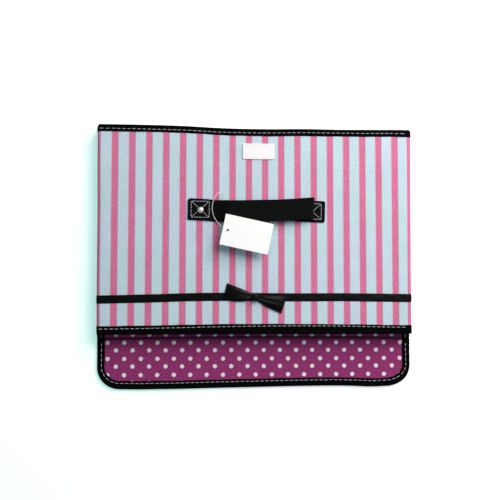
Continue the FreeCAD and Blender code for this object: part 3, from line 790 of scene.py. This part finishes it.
def ribbon_run(name, body, line, facing, path, seam=None):
    """Satin ribbon laid along a line of (x, z) across a wall, a little slack between its sewn edges."""
    lo, hi = node_box(f"{name}_ribbon")
    middle, reach = (lo.y + hi.y) / 2, (hi.y - lo.y) / 2
    ys = np.array([lo.y, lo.y + 0.5, *np.linspace(lo.y + 1.2, hi.y - 1.2, 7), hi.y - 0.5, hi.y])
    normal = left_normals(line) * facing
    x, y, z = swept(line, ys)
    across = (y - middle) / reach
    puckers = np.sin(x / 5.3 + 2 * np.sin(x / 31.0)) * np.sin(across * 3.0 + x / 17.0)
    lift = 0.2 * (1 - across ** 2) + 0.14 * puckers
    if facing > 0:
        lift = lift + relief(x, y)
    if seam is not None:
        lift = lift + 0.35 * np.exp(-((x - seam) / 1.2) ** 2)
    grid = np.stack([x + normal[:, 0] * lift, y + through(path, x), z + normal[:, 1] * lift], axis=2)
    grid, uv = turned_out(grid, sheet_uv(run_lengths(line), ys), facing)
    shell(f"{name}_satin_ribbon", grid, uv, SATIN_GAUGE, "black_satin", body, [f"{name}_ribbon"])


def wall(name, half, facing, path, seam):
    """The front or back wall: cloth, board, lining, rim and foot tapes, ribbon."""
    body = name + "_wall"
    face = outer_z(f"{name}_fabric", facing)
    turn = (face + outer_z(f"{half}_fabric", -facing)) / 2
    wall_cloth(name, face, turn, facing)
    lo, hi = node_box(f"{name}_board")
    board(name, body, BOARD_INSET, 1.0, 1.0)
    lining(name, body, lo.x + 2.6, hi.x - 2.6, -facing)
    ribbon = edge_path(EDGE_X + 0.35, face + facing * 0.4, turn)[0]
    ribbon_run(name, body, filled(ribbon, 1.5), facing, path, seam)
    outer = face + facing * TAPE_GAUGE
    wall_tape(f"{name}_rim_tape", outer, turn, 3.7, body, f"{name}_top_binding", True, RIM_TAPE)
    wall_tape(f"{name}_foot_tape", outer, turn, 3.1, body, f"{name}_bottom_binding", False, FOOT_BACK)
    for label, seed, y_of in (
        ("rim", 3, lambda x: RIM_Y - RIM_TAPE + STITCH_INSET + 0.4 * np.sin(x / 70.0)),
        ("foot", 4, lambda x: FOOT_Y + through(FOOT_WIDTH, x) - through(FOOT_STITCH, x)),
    ):
        stitch_row(f"{name}_{label}_stitches", -EDGE_X + 1.5, EDGE_X - 1.5, y_of,
                   outer + facing * THREAD_LIFT, facing, body, seed)


def side_half(name, side, rear):
    """One half of a gusset side: cloth outside, board, lining inside, tapes, ribbon."""
    lo, hi = node_box(f"{name}_fabric")
    facing = 1 if rear else -1
    face = outer_z(f"{name}_fabric", facing)
    x0, x1 = (lo.x + 4.5, hi.x + CREASE_COVER) if side < 0 else (lo.x - CREASE_COVER, hi.x - 4.5)
    x, y = np.meshgrid(np.linspace(x0, x1, 60), np.linspace(FOOT_Y + CLOTH_TUCK, RIM_Y - CLOTH_TUCK, 60))
    grid = np.stack([x, y, np.full_like(x, face)], axis=2)
    grid, uv = turned_out(grid, np.stack([side * 2 * EDGE_X - x, y], axis=2), facing)
    shell(f"{name}_cloth", grid, uv, CLOTH_GAUGE, "stripe_cloth", name, [f"{name}_fabric"])
    board(name, name, 0.4, 1.0, 1.0)
    lining(name, name, x0 - (4.0 if side < 0 else 0.0), x1 + (4.0 if side > 0 else 0.0), -facing)
    line = filled(np.array([(x0, face + facing * 0.4), (x1, face + facing * 0.4)]), 1.5)
    ribbon_run(name, name, line, facing, STRAIGHT if rear else RIBBON_PATH)
    half_tapes(name, x0, x1, facing)


def half_tapes(name, x0, x1, facing):
    """The rim and foot tapes of a side half, as straight folded tapes."""
    node = f"{name}_bindings"
    outer, inner = outer_z(node, facing), outer_z(node, -facing)
    xs = np.linspace(x0, x1, 50)
    for label, width, back, edge, way, low, nodes in (
        ("rim", RIM_TAPE, RIM_TAPE, RIM_Y, -1, inner, [node]),
        ("foot", FOOT_TAPE, FOOT_BACK, FOOT_Y, 1, inner + facing * TAPE_GAUGE, []),
    ):
        corners = [(width, outer), (0.0, outer), (0.0, low), (back, low)]
        folded_tape(f"{name}_{label}_tape", corners, 1.2, 1.5,
                    lambda inset, z: level_line(xs, edge + way * inset, z), xs, name, nodes)
        stitch_row(f"{name}_{label}_stitches", x0 + 1.5, x1 - 1.5, lambda x: edge + way * (width - 3.0),
                   outer + facing * THREAD_LIFT, facing, name, 11)


def corner(side, label, end, wall_z, facing):
    """A corner turn of cloth with its tapes and ribbon, from a wall to the gusset half."""
    half, wall_body = f"side_{end}_{label}", "back_wall" if end == "rear" else "front_wall"
    a, b = (half, wall_body) if half == "side_front_left" else (wall_body, half)
    ribbon = node_box("front_ribbon")
    shift = 0.0 if end == "rear" else float(through(RIBBON_PATH, side * EDGE_X))
    foot_top = FOOT_Y + FOOT_TAPE - (1.2 if end == "rear" else 1.6)
    for part, y0, y1, proud, gauge, slot in (
        ("turn", FOOT_Y + CLOTH_TUCK, RIM_Y - CLOTH_TUCK, 0.0, CLOTH_GAUGE, "stripe_cloth"),
        ("rim_turn", RIM_Y - RIM_TAPE, RIM_Y, 0.45, TAPE_GAUGE, "black_tape"),
        ("foot_turn", FOOT_Y, foot_top, 0.45, TAPE_GAUGE, "black_tape"),
        ("ribbon_turn", ribbon[0].y + shift, ribbon[1].y + shift, 0.4, SATIN_GAUGE, "black_satin"),
    ):
        half_z = outer_z(f"{half}_fabric", facing) + facing * proud
        middle = (wall_z + half_z) / 2
        edge = side * (EDGE_X + proud)
        corners = [(edge, middle - facing * 0.8), (edge, half_z), (side * (EDGE_X - 8.0), half_z)]
        line = filled(rounded(corners, CORNER_RADIUS), 1.2)
        bend = math.pi * CORNER_RADIUS / 2 - 2 * CORNER_RADIUS
        begin = EDGE_X + bend + abs(wall_z - middle) - 0.8 + side * float(print_shift(edge))
        ys = spaced(y0, y1, 5.0, 4)
        uv = sheet_uv(side * (begin + run_lengths(line)), ys)
        grid, uv = turned_out(np.stack(swept(line, ys), axis=2), uv, -side * facing)
        piece = shell(f"{half}_{part}", grid, uv, gauge, slot)
        near = (edge * MM, 0.0, (half_z - facing * 0.5) * MM)
        far = (edge * MM, 0.0, (middle + facing * 0.2) * MM)
        start, end_place = (near, far) if a == half else (far, near)
        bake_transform(piece)
        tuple(start)
        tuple(end_place)


# Floor
def floor_half(name, facing):
    """Half of the folding floor: mitred board between its lining and its cloth."""
    lo, hi = node_box(f"{name}_board")
    board(name, name, 1.0, 0.6, 0.6, hi.y - lo.y - 1.0)
    for layer, way in (("lining", -facing), ("cloth", facing)):
        lo, hi = node_box(f"{name}_{layer}")
        plate(f"{name}_{layer}_sheet", f"{name}_{layer}", name, lo.x + 0.6, hi.x - 0.6, way, hi.z - lo.z,
              0.4, 0.06)


# Lid and lip
def flat_cloth(name, node, facing, ring, gauge, slot, body, slide=0.0):
    """Cloth over a rounded outline, as a fan of rings that keeps its corners smooth."""
    z = outer_z(node, facing)
    centre = ring.mean(axis=0)
    shares = np.concatenate([np.linspace(0.0, 0.9, 14), [0.95, 0.98, 1.0]])[1:]
    top = at_height(np.vstack([centre] + [centre + (ring - centre) * share for share in shares]), z)
    count, size = len(ring), len(top)
    faces = [(0, 1 + k, 1 + (k + 1) % count) for k in range(count)]
    faces += ring_faces(len(shares), count, 1, True)
    faces += [tuple(size + i for i in reversed(f)) for f in faces]
    last = 1 + (len(shares) - 1) * count
    for k in range(count):
        a, b = last + k, last + (k + 1) % count
        faces.append((a, a + size, b + size, b))
    if facing < 0:
        faces = [tuple(reversed(f)) for f in faces]
    whole = np.concatenate([top, top - (0.0, 0.0, facing * gauge)])
    uvs = (np.column_stack(settled(whole[:, 0], whole[:, 1])) + (0.0, slide)) * MM
    mesh_piece(name, whole, faces, uvs, slot, body, [node])


def edge_tape(name, line, body, node):
    """Folded tape round a panel's edge, stitched on both faces; the panel is on the line's left."""
    low, top = outer_z("lip_binding", -1), outer_z("lip_binding", 1)
    normal = left_normals(line)
    lengths = run_lengths(line)
    wide = 1.1 * normal[:, 1] ** 2

    def row_of(inset, z):
        wave = 0.1 * np.sin(lengths / 8.0) * (inset > LID_TAPE - 1.0)
        return at_height(line + normal * (inset + wave + wide * inset / LID_TAPE)[:, None], z)

    corners = [(LID_TAPE, low), (0.0, low), (0.0, top), (LID_TAPE, top)]
    folded_tape(name, corners, 1.3, 1.3, row_of, lengths, body, [node])
    row = line + normal * (LID_TAPE - STITCH_INSET + 1.8 * wide)[:, None]
    for label, facing, z in (("upper", 1, top), ("lower", -1, low)):
        dashes = dashes_along(at_height(row, z + THREAD_LIFT), facing, seed=31)
        stitch_mesh(f"{name}_{label}_stitches", dashes, body, "black_tape")


def dotted_panel(name, ring, slide=0.0):
    """The dotted cloth of the lid or lip on its outside, and the lining on its inside."""
    flat_cloth(f"{name}_dotted_cloth", f"{name}_fabric", 1, ring, CLOTH_GAUGE, "dot_cloth", name, slide)
    flat_cloth(f"{name}_lining_cloth", f"{name}_lining", -1, ring, LINING_GAUGE, "lining_cloth", name)


def lid():
    """The lid's dotted cloth, board, lining and side tapes."""
    lo, hi = node_box("lid_fabric")
    low = lo.y + 6.0
    ring = filled_ring(rounded_loop(rectangle(lo.x, hi.x, low, hi.y), 1.0), 8.0)
    dotted_panel("lid", ring, LID_PRINT)
    board("lid", "lid", 1.0, low + 1.0 - node_box("lid_board")[0].y, 1.0)
    for side, label in SIDES:
        ends = [(side * LID_X, hi.y), (side * LID_X, lo.y)]
        line = filled(np.array(ends if side < 0 else ends[::-1], float), 3.0)
        edge_tape(f"lid_{label}_tape", line, "lid", "lid_side_bindings")


def lip():
    """The lip on the lid's front edge, bound round three sides."""
    lo, hi = node_box("lip_binding")
    edge = filled(rounded([(lo.x, hi.y), (lo.x, lo.y), (hi.x, lo.y), (hi.x, hi.y)], LIP_CORNER, 16), 3.0)
    ring = filled_ring(edge + left_normals(edge) * 0.8, 6.0)
    dotted_panel("lip", ring)
    edge_tape("lip_edge_tape", edge, "lip", "lip_binding")
    board("lip", "lip", 12.0, 8.0, 1.0)


def lid_folds():
    """The black hinge cloth at the rim and the cloth in the groove of the lip."""
    lo, hi = node_box("lid_hinge_cloth")
    lid_top = node_box("lid_fabric")[1].y
    line = filled(rounded([(lo.y, lo.z), (hi.y, lo.z), (hi.y, 0.9), (lid_top - 10.0, 0.9)], 1.2, 6), 1.0)
    xs = np.linspace(-EDGE_X + 1.0, EDGE_X - 1.0, 90)
    rows = np.array([level_line(xs, y, z) for y, z in line])
    piece = shell("lid_hinge_fold", rows, sheet_uv(xs, run_lengths(line)), 0.3, "black_tape", None,
                  ["lid_hinge_cloth"])
    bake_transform(piece)
    lo, hi = node_box("lip_fold_cloth")
    side = LID_X - LID_TAPE / 2
    for name, x0, x1, level, depth, gauge, slot, nodes in (
        ("lip_fold_groove", lo.x, hi.x, 3.12, 1.5, CLOTH_GAUGE, "dot_cloth", ["lip_fold_cloth"]),
        ("lip_fold_tape_left", -side - 4.5, -side + 4.5, 3.62, 1.2, TAPE_GAUGE, "black_tape", []),
        ("lip_fold_tape_right", side - 4.5, side + 4.5, 3.62, 1.2, TAPE_GAUGE, "black_tape", []),
    ):
        x, y = np.meshgrid(spaced(x0, x1, 4.0, 12), np.linspace(lo.y - 3.0, hi.y + 6.5, 34))
        above = y - CREASE_Y + CREASE_BEND * (x / 1000.0) ** 2
        dip = np.exp(-(above / np.where(above > 0, 1.9, 0.9)) ** 2)
        grid = np.stack([x, y, level - depth * dip], axis=2)
        uv = np.stack([x, y + LID_PRINT * (above > 0)], axis=2)
        piece = shell(name, grid, uv, gauge, slot, None, nodes)
        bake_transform(piece)


# Strap handle
def strap_section(width, gauge):
    """Outline of webbing across its width: flat faces, rounded selvedges, as (y, z) pairs."""
    r = gauge / 2
    right = [(width / 2 - r + r * math.sin(a), r * math.cos(a)) for a in np.linspace(0, math.pi, 7)]
    top = [(y, r) for y in np.linspace(-width / 2 + r, width / 2 - r, 12)]
    low, left = ([(-y, -z) for y, z in half] for half in (top, right))
    return top[:-1] + right + low[1:-1] + left[:-1]


def strap_run(name, path, width, gauge, round_ends=(False, False), open_ends=(False, False), lean=0.0):
    """Webbing swept along (x, y, z) points, with its selvedges kept level."""
    path = np.array(path, float)
    way = np.gradient(path, axis=0)
    way /= np.linalg.norm(way, axis=1, keepdims=True)
    section = strap_section(width, gauge)
    lengths = run_lengths(path)
    around = run_lengths(np.array(section + section[:1]))
    points, uvs = [], []
    for p, w, s in zip(path, way, lengths):
        turn = lean * float(smooth(p[0] / 55.0))
        y_axis = np.array([-math.sin(turn), math.cos(turn), 0.0])
        y_axis -= w * (y_axis @ w)
        y_axis /= np.linalg.norm(y_axis)
        up = np.cross(w, y_axis)
        near = min([d for d, wanted in zip((s, lengths[-1] - s), round_ends) if wanted] + [END_ROUND])
        cut = END_ROUND - math.sqrt(max(0.0, END_ROUND ** 2 - (END_ROUND - near) ** 2))
        share = 1 - 2 * cut / width
        for (y, z), a in zip(section, around):
            points.append(p + y_axis * y * share + up * z)
            uvs.append((s, a))
    rings, uvs = (np.array(flat).reshape(len(path), len(section), -1) for flat in (points, uvs))
    return tube(name, rings, uvs, "black_webbing", flip=True, open_ends=open_ends, flat_ends=True)


def box_stitches(name, corners, z, seed):
    """A sewn box with its two diagonals."""
    ring = corners + corners[:1]
    dashes = []
    for k, (a, b) in enumerate([*zip(ring, ring[1:]), (ring[0], ring[2]), (ring[1], ring[3])]):
        dashes += dashes_along([(*a, z), (*b, z)], 1, 3.1, 2.3, seed + k, 0.1)
    stitch_mesh(name, dashes, "front_wall", "black_webbing", 0.31, False)


def rivet(name, x, nodes=()):
    """A domed cap with a rolled flange."""
    lo, hi = node_box("handle_rivets")
    radius, high = (hi.y - lo.y) / 2, hi.z - lo.z
    profile = [(radius, 0.0), (radius * 1.02, 0.25), (radius * 0.97, 0.5), (radius * 0.86, 0.62)]
    profile += [(radius * 0.86 * math.cos(a), 0.62 + (high - 0.62) * math.sin(a))
                for a in np.linspace(0.1, math.pi / 2 - 0.05, 9)]
    reach, rise = np.array(profile).T[:, :, None]
    a = 2 * math.pi * np.arange(40) / 40
    flat = np.dstack([reach * np.cos(a), reach * np.sin(a)])
    rings = np.dstack([flat + (x, STRAP_LINE), lo.z + rise + 0 * a])
    tube(name, rings, flat, "rivet_metal", "front_wall", nodes)


def handle():
    """The strap: two sewn ends, and a slack run in two halves that bends up off the wall."""
    lo, hi = node_box("handle_anchors")
    slope_lo, slope_hi = node_box("handle_left_slope")
    fold_lo, fold_hi = node_box("handle_right_fold")
    grip_lo, grip_hi = node_box("handle_grip")
    width, gauge = hi.y - lo.y, hi.z - lo.z
    middle = (lo.y + hi.y) / 2
    base, grip = lo.z + gauge / 2, (grip_lo.z + grip_hi.z) / 2
    rise = (grip - base) / 2
    right_start = hi.x - (slope_lo.x - lo.x)
    turn_right, turn_left = fold_hi.x - 4.5, fold_lo.x + 18.0

    def strap_y(x):
        return middle + float(through(STRAP_PATH, x))

    def arch(x):
        return grip + 1.3 * math.sin(math.pi * (x - slope_lo.x) / (fold_hi.x - slope_lo.x))

    def run(x0, x1, count, height=arch):
        return [(x, strap_y(x), height(x)) for x in np.linspace(x0, x1, count)]

    def turn(x, bulge, top, slip=0.0):
        angles = np.linspace(0, math.pi, 9)[1:-1]
        return [(x + bulge * math.sin(a), strap_y(x),
                 top - rise / 2 * (1 - math.cos(a)) + slip * math.cos(a)) for a in angles]

    def lifting(x):
        return base + (arch(x) - base) * float(smooth((x - slope_lo.x) / (slope_hi.x + 2.0 - slope_lo.x)))

    path = [(lo.x + d, strap_y(lo.x + d), base) for d in END_STEPS]
    path += run(lo.x + 5.0, slope_lo.x, 8, lambda x: base)
    path += run(slope_lo.x + 1.5, slope_hi.x + 4.0, 14, lifting) + run(slope_hi.x + 7.0, 0.0, 12)
    left = strap_run("strap_left_half", path, width, gauge, (True, False), (False, True))
    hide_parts("handle_left_slope", "handle_grip")
    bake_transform(left)

    path = run(0.0, turn_right, 26) + turn(turn_right, rise * 0.6, grip, 0.2)
    path += run(turn_right, turn_left, 12, lambda x: grip - rise)
    path += turn(turn_left, -rise * 0.6, grip - rise)
    for x in np.linspace(turn_left, right_start, 6):
        share = float(smooth((x - turn_left) / (right_start - turn_left)))
        path.append((x, strap_y(x) * (1 - share) + middle * share, base))
    right = strap_run("strap_right_half", path, width, gauge, open_ends=(True, False), lean=RIGHT_LEAN)
    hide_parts("handle_right_fold")
    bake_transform(right)

    ends = [*np.linspace(right_start + 0.1, hi.x - 5.0, 8), *(hi.x - d for d in reversed(END_STEPS))]
    sewn = [(x, middle - 1.15 * (x - right_start) / (hi.x - right_start), base) for x in ends]
    end = strap_run("strap_right_end", sewn, width, gauge, (False, True))
    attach(end, "front_wall")
    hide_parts("handle_anchors")
    box_stitches("strap_left_stitches", BOX_LEFT, hi.z + THREAD_LIFT, 41)
    box_stitches("strap_right_stitches", BOX_RIGHT, hi.z + THREAD_LIFT, 51)
    rivet_lo, rivet_hi = node_box("handle_rivets")
    radius = (rivet_hi.y - rivet_lo.y) / 2
    rivet("rivet_left", rivet_lo.x + radius, ["handle_rivets"])
    rivet("rivet_right", rivet_hi.x - radius - RIVET_SLIDE)


# Bow
def tilted(along, across):
    """A place along and across the bow, as x and y."""
    lo, hi = node_box("bow_knot")
    c, s = math.cos(BOW_TILT), math.sin(BOW_TILT)
    return (lo.x + hi.x) / 2 + along * c - across * s, (lo.y + hi.y) / 2 + along * s + across * c


def wing(name, side, nodes):
    """One bow wing: a gathered fan of ribbon, puffed between its edges and folded at the knot."""
    base = node_box("bow_knot")[0].z
    upper, lower, reach, folds = BOW_WINGS[side]
    t, q = np.meshgrid(np.linspace(0, 1, 45), np.linspace(-1, 1, 37), indexing="ij")
    low, high = through(lower, t), through(upper, t)
    across = low + (high - low) * (q + 1) / 2
    tooth = 0.5 * np.abs((q * 9.0) % 1.0 - 0.5) * smooth((t - 0.93) / 0.07)
    end = (reach[0] + reach[1]) / 2 + (reach[0] - reach[1]) / 2 * q
    along = side * (2.2 + (end - 2.2) * t - tooth * 1.4)
    height = 0.9 + 1.9 * np.sin(np.pi * np.clip(t * 0.95 + 0.08, 0, 1)) * np.sqrt(np.clip(1 - q * q, 0, 1))
    for near, far, tall, wide in folds:
        place = near + (far - near) * t
        height += tall * np.exp(-((q - place) / (wide * (1 + t))) ** 2) * (1 - 0.75 * t)
    height += 0.3 * np.cos(q * 12.0) * (1 - t) ** 3
    x, y = tilted(along, across)
    grid = np.stack([x, y, base + np.minimum(height, 4.6)], axis=2)
    grid, uv = turned_out(grid, np.stack([np.abs(along), across], axis=2), side)
    inner = grid.copy()
    inner[:, :, 2] = base + np.maximum(0.15, (grid[:, :, 2] - base) - 0.7)
    two_sided(name, grid, inner, uv, "black_satin", "front_wall", nodes, False)


def knot(length, width):
    """The band round the bow's middle, puffed, with lengthwise folds."""
    lo, hi = node_box("bow_knot")
    high = hi.z - lo.z
    s = np.linspace(-1, 1, 15)[:, None]
    a = 2 * math.pi * np.arange(36) / 36
    swell = (1 - 0.25 * np.abs(s) ** 3) * (1 + 0.05 * np.cos(a * 6 + 1.0)) / 2
    across, up = (np.sign(way) * np.abs(way) ** 0.8 * size * swell
                  for way, size in ((np.cos(a), width), (np.sin(a), high)))
    along = s * length / 2 + 0 * a
    rings = np.dstack([*tilted(along, across), lo.z + high / 2 + up])
    tube("bow_band", rings, np.dstack([a * 4 + 0 * s, along]), "black_satin", "front_wall", ["bow_knot"])


# Hook and loop patches
def patch(name, node, body, facing):
    lo, hi = node_box(node)
    outline = filled_ring(rounded_loop(rectangle(lo.x, hi.x, lo.y, hi.y), 1.4), 1.5)
    outline = outline + np.random.default_rng(5).normal(0, 0.06, outline.shape)
    flat_cloth(f"{name}_tape", node, facing, outline, 0.7, "white_hook", body)
    z = outer_z(node, facing) + facing * 0.02
    dashes = []
    for y in (lo.y + 2.6, hi.y - 2.6):
        dashes += dashes_along([(lo.x + 2.6, y, z), (hi.x - 2.6, y, z)], facing, 3.0, 2.2, 61, 0.1)
    stitch_mesh(f"{name}_stitches", dashes, body, "white_hook", 0.2)


# Tag and filament
def tag():
    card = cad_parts["tag_card"]
    card.data.materials.clear()
    card.data.materials.append(CLOTHS["tag_paper"])
    curve = bpy.data.curves.new("tag_filament", "CURVE")
    curve.dimensions = "3D"
    spline = curve.splines.new("NURBS")
    spline.points.add(len(LOOP_ROUTE) - 1)
    route = [(x * MM, (y + STRAP_LINE) * MM, (z + FACE_Z) * MM) for x, y, z in LOOP_ROUTE]
    for point, place in zip(spline.points, route):
        point.co = (*place, 1.0)
    spline.order_u = 3
    spline.use_endpoint_u = True
    curve.resolution_u = 12
    curve.bevel_depth = FILAMENT_DIAMETER / 2 * MM
    curve.bevel_resolution = 4
    curve.use_fill_caps = True
    curve.materials.append(CLOTHS["clear_filament"])
    piece = placed("tag_filament", curve)
    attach(piece, "handle")
    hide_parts("tag_loop")
    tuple(route[0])


# Camera, light and floor
def camera():
    data = bpy.data.cameras.new("camera")
    data.sensor_width = SENSOR_WIDTH
    data.lens = CAMERA_FOCAL_PIXELS / IMAGE_PIXELS * SENSOR_WIDTH
    data.clip_start, data.clip_end = 0.01, 10.0
    view = placed("camera", data)
    view.rotation_euler = [math.radians(a) for a in CAMERA_TURN]
    back = view.rotation_euler.to_matrix() @ Vector((0, 0, CAMERA_DISTANCE))
    view.location = (Vector(CAMERA_TARGET) + back) * MM
    bpy.context.scene.camera = view


def paper_floor():
    """A pale floor under the box that the camera sees a little lighter; the lift is greener at its left, a
    painted teal reflection that colours the box's shadow there.
    """
    s = Shader("floor_paper", roughness=0.9, specular=0.1)
    place = s.object_point()
    tone = s.mix(s.noise(place, 2.0, 1.0), rgb(250, 250, 250), rgb(254, 254, 254))
    # Painted teal reflection: the camera-only glow turns greener towards the left, where the box's shadow
    # falls.
    side = s.ramp(s.split(place)[0], -0.2, 0.1)
    s.feed(s.skin, {"Emission Color": s.mix(side, FLOOR_LIFT_LEFT, FLOOR_LIFT_RIGHT),
                    "Emission Strength": s.node("ShaderNodeLightPath", output="Is Camera Ray")})
    mesh = bpy.data.meshes.new("floor")
    corners = rectangle(-FLOOR_REACH, FLOOR_REACH, -FLOOR_REACH, FLOOR_REACH)
    mesh.from_pydata([(x, y, FLOOR_Z) for x, y in corners], [], [(0, 1, 2, 3)])
    mesh.materials.append(s.finish(colour=tone))
    placed("floor", mesh)


def light():
    """Soft sky light and one broad lamp from the upper right."""
    scene = bpy.context.scene
    world = bpy.data.worlds.new("sky")
    world.use_nodes = True
    sky = world.node_tree.nodes["Background"]
    sky.inputs["Color"].default_value = SKY_TINT
    sky.inputs["Strength"].default_value = SKY_STRENGTH
    scene.world = world
    lamp = bpy.data.lights.new("window", "AREA")
    lamp.size = WINDOW_SIZE
    lamp.energy = WINDOW_POWER
    lamp.color = WINDOW_TINT
    window = placed("window", lamp)
    toward = Vector(WINDOW_WAY).normalized()
    window.location = toward * WINDOW_DISTANCE
    window.rotation_euler = toward.to_track_quat("Z", "Y").to_euler()
    scene.view_settings.view_transform = "Standard"


camera()
paper_floor()
light()
tag()
wall("front", "side_front_left", 1, RIBBON_PATH, 183.0)
wall("back", "side_rear_left", -1, STRAIGHT, None)
for side_sign, side_label in SIDES:
    side_half(f"side_rear_{side_label}", side_sign, True)
    side_half(f"side_front_{side_label}", side_sign, False)
for side_sign, side_label in SIDES:
    corner(side_sign, side_label, "rear", outer_z("back_fabric", -1), 1)
    corner(side_sign, side_label, "front", FACE_Z, -1)
floor_half("floor_rear", 1)
floor_half("floor_front", -1)
lid()
lip()
lid_folds()
handle()
wing("bow_left_wing", -1, ["bow_wings"])
wing("bow_right_wing", 1, [])
knot(8.0, 8.4)
patch("hook_patch", "front_hook_patch", "front_wall", 1)
patch("loop_patch", "lip_loop_patch", "lip", -1)
